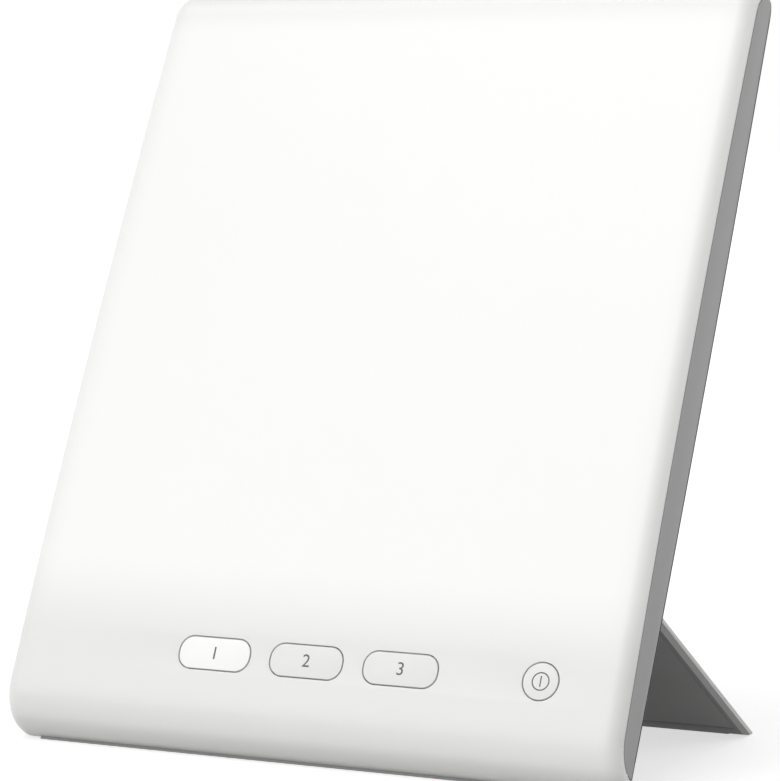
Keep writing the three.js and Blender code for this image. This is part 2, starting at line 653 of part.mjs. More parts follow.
/** The wound inductor: a ring that lies on the driver board. */
function inductor() {
  const { widthShare, above, radius, tube } = INDUCTOR;
  const ring = new THREE.TorusGeometry(radius, tube, BORE_SIDES / 2, BORE_SIDES);
  ring.rotateX(Math.PI / 2);
  ring.translate(acrossDriver(widthShare), -(DRIVER.front + GAP + tube), DRIVER.low + above);
  return solid(ring);
}

/** A round capacitor lying on the driver board at a height above its lower edge. */
function capacitor(above) {
  const { widthShare, half, radius } = CAPACITOR;
  const sides = about(acrossDriver(widthShare), half);
  return rodX(...sides, radius, -(DRIVER.front + GAP + radius), DRIVER.low + above);
}

/** The flat ribbon that climbs from the driver board round the control board's edge. */
function boardRibbon() {
  const { widthShare, half, thickness, below, rise, reach } = RIBBON;
  const sides = about(acrossDriver(widthShare), half);
  const start = DRIVER.high - below;
  const foot = DRIVER.front + DRIVER_PARTS.plug.height + GAP;
  const knee = foot + rise;
  const edge = CONTROL.high + reach;
  const top = CONTROL.front + rise;
  return join(
    block(sides, [foot, knee + thickness], [start, start + thickness]),
    block(sides, [knee, knee + thickness], [start, edge + thickness]),
    block(sides, [knee, top + thickness], [edge, edge + thickness]),
    block(sides, [top, top + thickness], [CONTROL.high - reach, edge + thickness]),
  );
}

/** The pair of wires, in one sleeve, from the driver board to one strip of chips. */
function ledWires(side, start) {
  const x = (side * (STRIP_INNER + STRIP_OUTER)) / 2;
  const bend = WIRE.bend;
  const low = CONTROL.high + WIRE.above;
  const end = LIGHT.low + STRIP.margin - GAP;
  const back = DRIVER.front + WIRE.rise;
  const front = (GUIDE.back + GUIDE.front) / 2;
  const path = new THREE.CatmullRomCurve3(
    [
      new THREE.Vector3(start, -back, low),
      new THREE.Vector3((start + x) / 2, -back, low),
      new THREE.Vector3(x - side * bend, -back, low),
      new THREE.Vector3(x, -(back + front) / 2, low),
      new THREE.Vector3(x, -front, low + bend),
      new THREE.Vector3(x, -front, end),
    ],
    false,
    "centripetal",
  );
  const section = new THREE.Shape();
  const points = Array.from({ length: WIRE.sides }, (_, index) => {
    const angle = (2 * Math.PI * index) / WIRE.sides;
    return new THREE.Vector2(WIRE.radius * Math.cos(angle), WIRE.radius * Math.sin(angle));
  });
  section.setFromPoints(points);
  return solid(new THREE.ExtrudeGeometry(section, { steps: WIRE.steps, extrudePath: path }));
}

// Inlet

/** The inlet socket: a block with a round bore and a contact pin in it. */
function inletSocket() {
  const front = SOCKET_BACK + SOCKET.length;
  const body = block(about(INLET_PLACE, SOCKET.half), [SOCKET_BACK, front], about(INLET_HEIGHT, SOCKET.half));
  const bore = rodT(INLET_PLACE, INLET_HEIGHT, SOCKET.bore, 0, SOCKET_BACK + SOCKET.boreDepth);
  const pin = rodT(INLET_PLACE, INLET_HEIGHT, SOCKET.pin, SOCKET_BACK + GAP, front - GAP);
  return join(cut(body, bore), pin);
}

// Screws

/** A screw along t, its head at the back. */
function screwT(x, u, seat, tip, { shank, head, headHeight }) {
  return join(rodT(x, u, head, seat - headHeight, seat), rodT(x, u, shank, seat - headHeight, tip));
}

/** A board's screw, its head at the front. */
function boardScrew([x, u], seat) {
  const { shank, head, headHeight, length } = SMALL_SCREW;
  const top = seat + headHeight;
  return join(rodT(x, u, head, seat, top), rodT(x, u, shank, seat - length, top));
}

/** A screw of a hinge bracket. */
function hingeScrew([x, u]) {
  const seat = POCKET_DEPTH - GAP - BRACKET.sheet - GAP;
  return screwT(x, u, seat, RIB_TOP - HOUSING_WALL, SMALL_SCREW);
}

// Hinge, in the lamp's own frame

const AXIS_Y = -HINGE.depth;

/** A hinge bracket: a sheet on the pocket's floor and a knuckle round the axis. */
function hingeBracket(side) {
  const sides = about(side * KNUCKLE_PLACE, KNUCKLE.halfWidth);
  const floor = POCKET_DEPTH - GAP;
  const low = HINGE.height - KNUCKLE.radius;
  const base = block(sides, [floor - BRACKET.sheet, floor], [low, HINGE.height + BRACKET.height]);
  const web = block(sides, [HINGE.depth, floor], about(HINGE.height, KNUCKLE.radius));
  const knuckle = rodX(...sides, KNUCKLE.radius, AXIS_Y, HINGE.height);
  const bore = rodX(...about(side * KNUCKLE_PLACE, PLATE_HALF_WIDTH), KNUCKLE.bore, AXIS_Y, HINGE.height);
  const holes = hingeScrewPlaces(side).map(([x, u]) => rodT(x, u, POST.bore, 0, POCKET_DEPTH));
  return cut(join(base, web, knuckle), bore, ...holes);
}

/** A hinge pin through a bracket and both of the plate's ears. */
function hingePin(side) {
  const reach = KNUCKLE.halfWidth + NOTCH.side + KNUCKLE.grip - GAP;
  return rodX(...about(side * KNUCKLE_PLACE, reach), KNUCKLE.bore - GAP, AXIS_Y, HINGE.height);
}

/** A friction washer on a hinge pin, at one end of the knuckle. */
function frictionWasher(side, end) {
  const middle = side * KNUCKLE_PLACE + end * (KNUCKLE.halfWidth + NOTCH.side / 2);
  const disc = rodX(...about(middle, WASHER.thickness / 2), KNUCKLE.radius, AXIS_Y, HINGE.height);
  return cut(disc, rodX(...about(middle, NOTCH.side), KNUCKLE.bore, AXIS_Y, HINGE.height));
}

// Support plate, in its own frame: y runs from the hinge axis to the foot and z is its upper side

/** A block of the plate between two values along x, y and z. */
function plateBlock([left, right], [near, far], [low, high]) {
  return block([left, right], [-far, -near], [low, high]);
}

/** A point of the plate on or above the table: back from the tip, and up. */
function footPoint(back, up) {
  const y = PLATE_LENGTH - back * Math.cos(SLOPE) - up * Math.sin(SLOPE);
  const z = PLATE.half - back * Math.sin(SLOPE) + up * Math.cos(SLOPE);
  return { y, z };
}

/** The plate's side profile, its upper face lowered by an inset. */
function plateOutline(inset) {
  const { half } = PLATE;
  const tip = footPoint(FOOT.lift / Math.tan(SLOPE), FOOT.lift);
  const flat = footPoint(FOOT.flat, FOOT.lift);
  const heel = arc({ x: 0, y: 0 }, half, half, -Math.PI / 2, -Math.PI, ROUND_STEPS);
  const crown = arc({ x: 0, y: 0 }, half, half - inset, Math.PI, Math.PI / 2, ROUND_STEPS).slice(1);
  const points = [...heel, ...crown];
  points.push(new THREE.Vector2(tip.y - inset / Math.tan(SLOPE), half - inset));
  points.push(new THREE.Vector2(flat.y - inset / 2, flat.z));
  points.push(new THREE.Vector2(PLATE_LENGTH - FOOT.chamfer, -half));
  return points;
}

/** The support plate: a shallow tray with a solid foot, two notches and pin bores. */
function standFrame() {
  const sides = roundedSides(PLATE_HALF_WIDTH, PLATE.edge, 0, PLATE.edge);
  const body = loft(
    sides.map(({ x, inset }) => {
      const outline = plateOutline(inset).map((point) => new THREE.Vector2(point.y, -point.x));
      return { x, outline };
    }),
  );
  const half = PLATE_HALF_WIDTH - PLATE.lip;
  const floor = PLATE.half - PLATE.skin;
  const tray = plateBlock(about(0, half), [HINGE.heel, PLATE_LENGTH - FOOT.solid], [-OVERRUN, floor]);
  const notches = [-1, 1].map((side) => {
    const across = about(side * KNUCKLE_PLACE, KNUCKLE.halfWidth + NOTCH.side);
    return plateBlock(across, [-OVERRUN, NOTCH.depth], about(0, OVERRUN));
  });
  const bores = [-1, 1].map((side) => {
    const reach = KNUCKLE.halfWidth + NOTCH.side + KNUCKLE.grip;
    return rodX(...about(side * KNUCKLE_PLACE, reach), KNUCKLE.bore, 0, 0);
  });
  const { back, front, height } = FOOT_STRIP;
  const groove = footBar(FOOT_STRIP_HALF + GAP, [back - GAP, front + GAP], [-OVERRUN, height + GAP]);
  return cut(body, tray, ...notches, ...bores, groove);
}

/** The bar under the foot between two distances back from the tip and two heights. */
function footBar(halfWidth, [near, far], [low, high]) {
  const corners = [
    footPoint(near, low),
    footPoint(near, high),
    footPoint(far, high),
    footPoint(far, low),
  ];
  return bar(corners.map(({ y, z }) => new THREE.Vector2(z, -y)), -halfWidth, halfWidth);
}

/** The dark sheet that lines the plate's tray. */
function standPanel() {
  const half = PLATE_HALF_WIDTH - PLATE.lip - GAP;
  const top = PLATE.half - PLATE.skin - GAP;
  const ends = [HINGE.heel + GAP, PLATE_LENGTH - FOOT.solid - GAP];
  return plateBlock(about(0, half), ends, [top - PANEL_SHEET.thickness, top]);
}

// Assembly

/** A named mesh of a solid. */
function piece(name, body, finish) {
  const mesh = new THREE.Mesh(surface(body), new THREE.MeshStandardMaterial(FINISH[finish]));
  mesh.name = name;
  return mesh;
}

/** The shells and the light panel. */
function lightPieces() {
  const strip = bar(baseStripOutline(0), -BASE_STRIP_HALF, BASE_STRIP_HALF);
  return [
    piece("front_cover", frontCover(), "opal"),
    piece("rear_housing", rearHousing(), "grey"),
    piece("base_strip", strip, "rubber"),
    piece("heat_spreader", sheet(SPREADER, LIGHT.halfWidth, 0), "silver"),
    piece("reflector_sheet", sheet(REFLECTOR, GUIDE_EDGE.halfWidth, GUIDE_EDGE.margin), "white"),
    piece("light_guide_plate", sheet(GUIDE, GUIDE_EDGE.halfWidth, GUIDE_EDGE.margin), "clear"),
    piece("panel_frame", panelFrame(), "white"),
    piece("diffuser_sheet", sheet(DIFFUSER, LIGHT.halfWidth, 0), "white"),
  ];
}

/** The boards with their separate components, the inlet and the keys' baffles. */
function electricPieces() {
  return [
    piece("control_board", controlBoard(), "board"),
    piece("driver_board", driverBoard(), "board"),
    piece("driver_inductor", inductor(), "copper"),
    ...CAPACITOR.above.map((above, index) => {
      return piece(`driver_capacitor_${index + 1}`, capacitor(above), "black");
    }),
    piece("board_ribbon", boardRibbon(), "white"),
    piece("inlet_socket", inletSocket(), "black"),
    piece("key_baffles", keyBaffles(), "white"),
  ];
}

/** Every screw of the lamp. */
function screwPieces() {
  const tip = WELL.end + SCREW.reach;
  const housing = screwPlaces().map(({ x, u }) => screwT(x, u, WELL.seat - GAP, tip, SCREW));
  const hinge = [-1, 1].flatMap(hingeScrewPlaces).map(hingeScrew);
  const driver = DRIVER_PLACES.map((place) => boardScrew(place, DRIVER.front + GAP));
  const control = CONTROL_PLACES.map((place) => boardScrew(place, CONTROL.front + GAP));
  const kinds = { housing, hinge, driver, control };
  return Object.entries(kinds).flatMap(([kind, bodies]) =>
    bodies.map((body, index) => piece(`${kind}_screw_${index + 1}`, body, "steel")),
  );
}

/** The pieces of one side: light strip, wires and hinge. */
function sidePieces(name, side) {
  const start = side < 0 ? DRIVER.left : DRIVER.right;
  return [
    piece(`led_strip_${name}`, ledStrip(side), "amber"),
    piece(`led_wires_${name}`, ledWires(side, start), "red"),
    piece(`hinge_bracket_${name}`, hingeBracket(side), "steel"),
    piece(`hinge_pin_${name}`, hingePin(side), "steel"),
    piece(`friction_washer_${name}_inner`, frictionWasher(side, -side), "steel"),
    piece(`friction_washer_${name}_outer`, frictionWasher(side, side), "steel"),
  ];
}

/** Everything that leans with the lamp. */
function leaningPart() {
  const group = new THREE.Group();
  group.add(...lightPieces(), ...electricPieces(), ...screwPieces());
  group.add(...sidePieces("left", -1), ...sidePieces("right", 1));
  for (const key of KEYS) {
    group.add(piece(`key_${key.name}`, keyCap(key), "opal"));
    group.add(piece(`switch_${key.name}`, keySwitch(key), "black"));
  }
  group.rotation.x = -LEAN;
  group.position.z = BASE_LIFT;
  return group;
}

/** The support plate, turned down to the table at the hinge axis. */
function supportPlate() {
  const group = new THREE.Group();
  const { back, front, height } = FOOT_STRIP;
  const strip = footBar(FOOT_STRIP_HALF, [back, front], [0, height]);
  group.add(
    piece("stand_frame", standFrame(), "lip"),
    piece("stand_panel", standPanel(), "dark"),
    piece("stand_strip", strip, "rubber"),
  );
  const behind = HINGE.height * Math.sin(LEAN) - HINGE.depth * Math.cos(LEAN);
  group.position.set(0, behind, AXIS_HEIGHT);
  group.rotation.x = -SLOPE;
  return group;
}

const lamp = new THREE.Group();
lamp.add(leaningPart(), supportPlate());
const bounds = new THREE.Box3().setFromObject(lamp, true);
for (const part of lamp.children) part.position.y -= (bounds.min.y + bounds.max.y) / 2;

export default lamp;
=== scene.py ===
"""The look of a light therapy lamp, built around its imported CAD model.

Pieces are modelled in millimetres in the frame of what carries them, then settled in metres.
In the lamp's own frame x runs across, u up along the back and t from the back to the front,
so that a place in x, u and t is the point (x, -t, u).
"""

import json
import logging
import math
from abc import ABC, abstractmethod
from collections.abc import Callable, Iterator, Sequence
from contextlib import contextmanager
from dataclasses import dataclass, field
from enum import Enum

import bmesh
import bpy
from mathutils import Euler, Matrix, Vector

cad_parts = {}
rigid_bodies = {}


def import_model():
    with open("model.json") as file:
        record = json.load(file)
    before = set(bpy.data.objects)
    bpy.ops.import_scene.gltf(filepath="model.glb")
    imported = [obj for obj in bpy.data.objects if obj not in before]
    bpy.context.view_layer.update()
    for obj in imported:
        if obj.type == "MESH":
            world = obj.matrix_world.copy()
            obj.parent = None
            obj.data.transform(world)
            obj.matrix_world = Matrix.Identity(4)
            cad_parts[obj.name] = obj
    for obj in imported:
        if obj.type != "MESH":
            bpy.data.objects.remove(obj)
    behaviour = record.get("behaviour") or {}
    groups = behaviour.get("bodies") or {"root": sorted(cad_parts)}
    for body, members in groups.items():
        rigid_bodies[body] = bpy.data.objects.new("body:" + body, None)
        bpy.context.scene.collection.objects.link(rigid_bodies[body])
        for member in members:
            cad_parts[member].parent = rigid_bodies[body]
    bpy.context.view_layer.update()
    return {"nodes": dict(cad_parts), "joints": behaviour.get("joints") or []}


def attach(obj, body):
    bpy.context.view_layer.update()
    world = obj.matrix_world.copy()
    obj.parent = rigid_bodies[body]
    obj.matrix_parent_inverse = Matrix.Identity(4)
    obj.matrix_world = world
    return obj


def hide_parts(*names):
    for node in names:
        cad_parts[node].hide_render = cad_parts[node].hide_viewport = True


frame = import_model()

LOG = logging.getLogger("lamp")
MM = 0.001

Ring = list[Vector]
Span = tuple[float, float]
Colour = tuple[float, float, float, float]
Tree = bpy.types.NodeTree
Shader = bpy.types.ShaderNode
Socket = bpy.types.NodeSocket
Piece = bpy.types.Object
Choice = Callable[[Vector, Vector], bool]

QUARTER = math.pi / 2
# Only edges that turn by more than this are eased.
SHARP = math.radians(50)
# The faces that stand for the roundness of an eased edge.
EASE_STEPS = 3
# A corner this near to a surface, in millimetres, counts as lying on it.
NEAR = 0.05

# Modelling


def choose(*pieces: Piece) -> None:
    """Selects these pieces alone and makes the first one active.

    Args:
        pieces: the pieces.
    """
    bpy.ops.object.select_all(action="DESELECT")
    for piece in pieces:
        piece.select_set(True)
    bpy.context.view_layer.objects.active = pieces[0]


@contextmanager
def editing(piece: Piece, mode: str = "VERT") -> Iterator[bmesh.types.BMesh]:
    """Opens a piece in edit mode with nothing selected.

    Args:
        piece: the piece to edit.
        mode: what is selected in it, vertices or edges or faces.

    Yields:
        The mesh that is edited.
    """
    choose(piece)
    bpy.ops.object.mode_set(mode="EDIT")
    bpy.ops.mesh.select_mode(type=mode)
    bpy.ops.mesh.select_all(action="DESELECT")
    yield bmesh.from_edit_mesh(piece.data)
    bpy.ops.object.mode_set(mode="OBJECT")


def put_cap(piece: Piece, ring: Ring) -> None:
    """Puts the corners of the selected end face on a ring of points.

    Args:
        piece: the piece, in edit mode.
        ring: as many points as the face has corners.
    """
    mesh = bmesh.from_edit_mesh(piece.data)
    cap = next(face for face in mesh.faces if face.select)
    for corner, point in zip(cap.verts, ring, strict=True):
        corner.co = point
    bmesh.update_edit_mesh(piece.data)


def loft(name: str, rings: Sequence[Ring]) -> Piece:
    """A closed solid: a face that is extruded from ring to ring.

    Args:
        name: the piece's name.
        rings: rings of points, all with one number of points.

    Returns:
        The solid, its faces pointing outwards.
    """
    bpy.ops.object.select_all(action="DESELECT")
    bpy.ops.mesh.primitive_circle_add(vertices=len(rings[0]), radius=1, fill_type="NGON")
    piece = bpy.context.object
    piece.name = name
    bpy.ops.object.mode_set(mode="EDIT")
    put_cap(piece, rings[0])
    for ring in rings[1:]:
        bpy.ops.mesh.extrude_region_move()
        put_cap(piece, ring)
    bpy.ops.mesh.select_all(action="SELECT")
    bpy.ops.mesh.normals_make_consistent(inside=False)
    bpy.ops.object.mode_set(mode="OBJECT")
    return piece


def rod(start: Vector, end: Vector, radius: float, sides: int = 48) -> Piece:
    """A round rod, as a tool or a piece to join.

    Args:
        start: the middle of one end.
        end: the middle of the other.
        radius: its radius.
        sides: how many sides stand for its roundness.

    Returns:
        The rod.
    """
    line = end - start
    turn = line.to_track_quat("Z", "Y").to_euler()
    middle = (start + end) / 2
    bpy.ops.object.select_all(action="DESELECT")
    bpy.ops.mesh.primitive_cylinder_add(
        vertices=sides, radius=radius, depth=line.length, location=middle, rotation=turn
    )
    bpy.ops.object.transform_apply()
    return bpy.context.object


def slab(low: Vector, high: Vector) -> Piece:
    """A block, as a tool that cuts or joins.

    Args:
        low: its corner with the lowest coordinates.
        high: its corner with the highest.

    Returns:
        The block.
    """
    bpy.ops.object.select_all(action="DESELECT")
    bpy.ops.mesh.primitive_cube_add(size=1, location=(low + high) / 2, scale=high - low)
    bpy.ops.object.transform_apply()
    return bpy.context.object


class Way(Enum):
    """How a tool works on a piece."""

    CUT = "DIFFERENCE"
    FUSE = "UNION"
    KEEP = "INTERSECT"


def work(piece: Piece, way: Way, *tools: Piece) -> None:
    """Cuts, fuses or keeps a piece with tools, which are used up.

    Args:
        piece: the piece that is worked on.
        way: cut, fuse or keep.
        tools: solids clear of each other, which are joined and work together.
    """
    choose(*tools)
    if len(tools) > 1:
        bpy.ops.object.join()
    tool = bpy.context.view_layer.objects.active
    choose(piece)
    step = piece.modifiers.new(way.value, "BOOLEAN")
    step.operation = way.value
    step.solver = "MANIFOLD"
    step.object = tool
    bpy.ops.object.modifier_apply(modifier=step.name)
    bpy.data.objects.remove(tool, do_unlink=True)


def ease(piece: Piece, chosen: Choice, width: float) -> None:
    """Rounds a piece's sharp edges.

    Args:
        piece: the piece.
        chosen: a test on an edge's two ends that picks the edges.
        width: how far the rounding reaches from the edge.
    """
    with editing(piece, "EDGE") as mesh:
        for edge in mesh.edges:
            sharp = len(edge.link_faces) == 2 and edge.calc_face_angle(0) > SHARP
            edge.select_set(sharp and chosen(*[corner.co for corner in edge.verts]))
        bmesh.update_edit_mesh(piece.data)
        bpy.ops.mesh.bevel(offset=width, segments=EASE_STEPS, profile=0.5, affect="EDGES")


def name_smooth(piece: Piece, name: str = "", degrees: float = 32) -> None:
    """Names a piece and shades it smoothly but for its sharper edges.

    Args:
        piece: the piece.
        name: its name, if it hasn't got it yet.
        degrees: the angle from which an edge stays sharp.
    """
    piece.name = name or piece.name
    choose(piece)
    bpy.ops.object.shade_smooth_by_angle(angle=math.radians(degrees))


def settle(piece: Piece, place: Matrix, body: str, slot: str, *nodes: str) -> None:
    """Puts a finished piece in its place, on its body and for its nodes.

    Args:
        piece: the piece, in millimetres in its carrier's frame.
        place: the carrier's frame in the row's.
        body: the CAD body that it rides on.
        slot: the record's material slot; not used.
        nodes: the CAD nodes that it stands for.
    """
    choose(piece)
    piece.matrix_world = place
    bpy.ops.object.transform_apply()
    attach(piece, body)
    if nodes:
        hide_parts(*nodes)


def dress(piece: Piece, material: bpy.types.Material) -> None:
    """Gives a piece or a carried-over CAD node one material.

    Args:
        piece: the piece or node.
        material: its material.
    """
    if not piece.material_slots:
        piece.data.materials.append(material)
    for slot in piece.material_slots:
        slot.material = material


def paint(piece: Piece, material: bpy.types.Material, chosen: Choice) -> None:
    """Gives a second material to some faces.

    Args:
        piece: the piece, before it is settled.
        material: the second material.
        chosen: a test on a face's centre and normal that picks the faces.
    """
    piece.data.materials.append(material)
    with editing(piece, "FACE") as mesh:
        for face in mesh.faces:
            face.select_set(chosen(face.calc_center_median(), face.normal))
        bmesh.update_edit_mesh(piece.data)
        piece.active_material_index = len(piece.material_slots) - 1
        bpy.ops.object.material_slot_assign()


# Finishes


def linear(code: str) -> Colour:
    """The linear colour of an sRGB hex value.

    Args:
        code: the value, such as "#a0b0c0".

    Returns:
        Red, green, blue and an alpha of 1.
    """
    shares = [int(code[i : i + 2], 16) / 255 for i in (1, 3, 5)]
    knee, low, high, power = 0.04045, 12.92, 1.055, 2.4
    red, green, blue = (s / low if s <= knee else ((s + high - 1) / high) ** power for s in shares)
    return red, green, blue, 1.0


def add(tree: Tree, kind: str, inputs: dict | None = None, **settings: object) -> Shader:
    """Adds a shader node.

    Args:
        tree: the material's node tree.
        kind: the node's type, without its prefix.
        inputs: values or output sockets by the name or number of the input.
        settings: the node's own settings.

    Returns:
        The node.
    """
    node = tree.nodes.new(f"ShaderNode{kind}")
    for name, value in settings.items():
        setattr(node, name, value)
    for name, value in (inputs or {}).items():
        if isinstance(value, bpy.types.NodeSocket):
            tree.links.new(value, node.inputs[name])
        else:
            node.inputs[name].default_value = value
    return node


@dataclass(frozen=True)
class Finish(ABC):
    """A finish: what the real surface is made of and how, with its sizes in millimetres.

    The share says how strongly the relief shows, the fade how much darker the colour gets
    where its pattern is low, and the span how far the roughness goes from its middle.
    """

    name: str
    colour: str
    roughness: float
    relief: float = 0.02
    share: float = 0.6
    fade: float = 0.05
    rough_span: Span = (0.9, 1.1)

    def material(self) -> bpy.types.Material:
        """Makes the finish's material the first time, and finds it again later.

        Returns:
            The material.
        """
        known = bpy.data.materials.get(self.name)
        if known:
            return known
        made = bpy.data.materials.new(self.name)
        made.use_nodes = True
        tree = made.node_tree
        tree.nodes.clear()
        base = {"Base Color": linear(self.colour), "Roughness": self.roughness}
        shader = add(tree, "BsdfPrincipled", base)
        self.pattern(tree, shader)
        add(tree, "OutputMaterial", {"Surface": shader.outputs["BSDF"]})
        return made

    @abstractmethod
    def pattern(self, tree: Tree, shader: Shader) -> None:
        """Adds the finish's own pattern to its shader."""

    def ends(self) -> tuple[Colour, Colour]:
        """The colours where the pattern is low and where it is high.

        Returns:
            Both colours.
        """
        bright = linear(self.colour)
        red, green, blue = (part * (1 - self.fade) for part in bright[:3])
        return (red, green, blue, 1.0), bright

    def vary(self, tree: Tree, shader: Shader, cloud: Socket, height: Socket) -> None:
        """Varies colour and roughness with one pattern and gives the relief of another.

        Args:
            tree: the node tree.
            shader: the principled shader.
            cloud: a value from 0 to 1 over the surface, for colour and roughness.
            height: the same, for the relief.
        """
        # A Mix node for colours takes its share at 0 and its colours at 6 and 7.
        dark, bright = self.ends()
        tone = add(tree, "Mix", {0: cloud, 6: dark, 7: bright}, data_type="RGBA")
        tree.links.new(tone.outputs[2], shader.inputs["Base Color"])
        low, high = (self.roughness * share for share in self.rough_span)
        rough = add(tree, "MapRange", {"Value": cloud, "To Min": low, "To Max": high})
        tree.links.new(rough.outputs["Result"], shader.inputs["Roughness"])
        relief = {"Height": height, "Distance": self.relief * MM, "Strength": self.share}
        bump = add(tree, "Bump", relief)
        tree.links.new(bump.outputs["Normal"], shader.inputs["Normal"])


@dataclass(frozen=True)
class Moulded(Finish):
    """Moulded plastic or rubber, with a cloud where the melt flowed and its mould's grain.

    The real grain is about 0.1 mm wide. It is drawn several times coarser, so that it shows.
    """

    grain: float = 0.5
    cloud: float = 45
    ior: float = 1.5

    def pattern(self, tree: Tree, shader: Shader) -> None:
        """Adds the cloud and the grain.

        Args:
            tree: the node tree.
            shader: the principled shader.
        """
        shader.inputs["IOR"].default_value = self.ior
        where = add(tree, "TexCoord").outputs["Object"]
        wide = {"Vector": where, "Scale": 1 / (self.cloud * MM), "Detail": 3.0}
        fine = {"Vector": where, "Scale": 1 / (self.grain * MM), "Detail": 2.0}
        cloud, grain = (add(tree, "TexNoise", inputs).outputs[0] for inputs in (wide, fine))
        self.vary(tree, shader, cloud, grain)


class Glow(Enum):
    """Where an opal piece is lit from behind."""

    PANEL = "panel"
    KEY = "key"
    DARK = "dark"


@dataclass(frozen=True)
class Opal(Finish):
    """Polished opal acrylic, lit from behind where the light panel or a lamp lies.

    The panel's light fades out across the lamp and at its lower and upper ends. Above its bottom
    bend a band of painted light is added, which lightens the bend's shading.
    """

    share: float = 0.5
    fade: float = 0.012
    ior: float = 1.49
    cloud: float = 80
    wave: float = 30
    glow: Glow = Glow.DARK
    light: str = "#fffefc"
    strength: float = 0.13
    uneven: float = 1.05
    across: Span = (124, 153)
    low: Span = (36, 78)
    high: Span = (322, 344)
    # A band of painted light above the bottom bend, which lightens the shading there.
    painted_bend_light: float = 0.07
    bend: Span = (2.5, 6.5)
    above_bend: Span = (7, 20)

    def pattern(self, tree: Tree, shader: Shader) -> None:
        """Adds a faint cloud, the waviness of the moulding and the light.

        Args:
            tree: the node tree.
            shader: the principled shader.
        """
        shader.inputs["IOR"].default_value = self.ior
        where = add(tree, "TexCoord").outputs["Object"]
        wide = {"Vector": where, "Scale": 1 / (self.cloud * MM), "Detail": 1.0}
        waves = {"Vector": where, "Scale": 1 / (self.wave * MM), "Detail": 0.0}
        cloud, wave = (add(tree, "TexNoise", inputs).outputs[0] for inputs in (wide, waves))
        self.vary(tree, shader, cloud, wave)
        if self.glow is Glow.DARK:
            return
        shader.inputs["Emission Color"].default_value = linear(self.light)
        if self.glow is Glow.KEY:
            span = {"To Min": self.strength, "To Max": self.strength * self.uneven}
            level = add(tree, "MapRange", {"Value": cloud} | span).outputs["Result"]
        else:
            level = self.panel_light(tree, where)
        tree.links.new(level, shader.inputs["Emission Strength"])

    def panel_light(self, tree: Tree, where: Socket) -> Socket:
        """How strongly the panel lights each place on the front.

        Args:
            tree: the node tree.
            where: the Object coordinates.

        Returns:
            The strength.
        """
        spot, turn, size = LAMP_PLACE.decompose()
        own = {"Vector": where, "Location": spot, "Rotation": turn.to_euler(), "Scale": size}
        lamp = add(tree, "Mapping", own, vector_type="TEXTURE")
        axes = add(tree, "SeparateXYZ", {"Vector": lamp.outputs[0]})
        out = add(tree, "Math", {0: axes.outputs["X"]}, operation="ABSOLUTE").outputs[0]
        up = axes.outputs["Z"]
        steps = []
        for value, (near, far), start, end in (
            (out, self.across, 1, 0),
            (up, self.low, 0, 1),
            (up, self.high, 1, 0),
            (up, self.bend, 0, self.painted_bend_light),
            (up, self.above_bend, 1, 0),
        ):
            span = {"From Min": near, "From Max": far, "To Min": start, "To Max": end}
            step = {"Value": value} | span
            steps.append(add(tree, "MapRange", step, interpolation_type="SMOOTHSTEP").outputs[0])
        share = steps[0]
        for step in steps[1:3]:
            share = add(tree, "Math", {0: share, 1: step}, operation="MULTIPLY").outputs[0]
        # Painted light: a band above the bottom bend that lightens its shading.
        painted_bend_glow = add(tree, "Math", {0: steps[3], 1: steps[4]}, operation="MULTIPLY").outputs[0]
        total = {0: share, 1: self.strength, 2: painted_bend_glow}
        return add(tree, "Math", total, operation="MULTIPLY_ADD").outputs[0]


@dataclass(frozen=True)
class Metal(Finish):
    """Bare metal with the fine lines that rolling, brushing or turning leaves.

    The stretch says how many times finer the pattern is along each axis, so the lines run
    along an axis that has a 1.
    """

    relief: float = 0.01
    share: float = 0.4
    fade: float = 0.25
    line: float = 0.25
    stretch: tuple[float, float, float] = (1, 40, 40)

    def pattern(self, tree: Tree, shader: Shader) -> None:
        """Adds lines along one way, in colour, roughness and relief.

        Args:
            tree: the node tree.
            shader: the principled shader.
        """
        shader.inputs["Metallic"].default_value = 1.0
        where = add(tree, "TexCoord").outputs["Object"]
        long = add(tree, "Mapping", {"Vector": where, "Scale": self.stretch}).outputs[0]
        scale = 1 / (self.line * MM) / max(self.stretch)
        lines = add(tree, "TexNoise", {"Vector": long, "Scale": scale, "Detail": 4.0}).outputs[0]
        self.vary(tree, shader, lines, lines)


@dataclass(frozen=True)
class Tiled(Finish):
    """A surface laid out in fields with lines round them, such as tracks or chips."""

    relief: float = 0.04
    second: str = "#ffffff"
    pitch: float = 2.5
    line: float = 0.4
    tilt: float = 64

    def ends(self) -> tuple[Colour, Colour]:
        """The colour of the fields and that of the lines round them."""
        return linear(self.colour), linear(self.second)

    def pattern(self, tree: Tree, shader: Shader) -> None:
        """Adds the fields and the lines, in the plane of the leaning lamp.

        Args:
            tree: the node tree.
            shader: the principled shader.
        """
        where = add(tree, "TexCoord").outputs["Object"]
        turn = (math.radians(self.tilt), 0, 0)
        laid = {
            "Vector": add(tree, "Mapping", {"Vector": where, "Rotation": turn}).outputs[0],
            "Scale": 1 / (self.pitch * MM),
            "Mortar Size": self.line / self.pitch / 2,
            "Brick Width": 1.0,
            "Row Height": 1.0,
        }
        lines = add(tree, "TexBrick", laid).outputs["Fac"]
        self.vary(tree, shader, lines, lines)


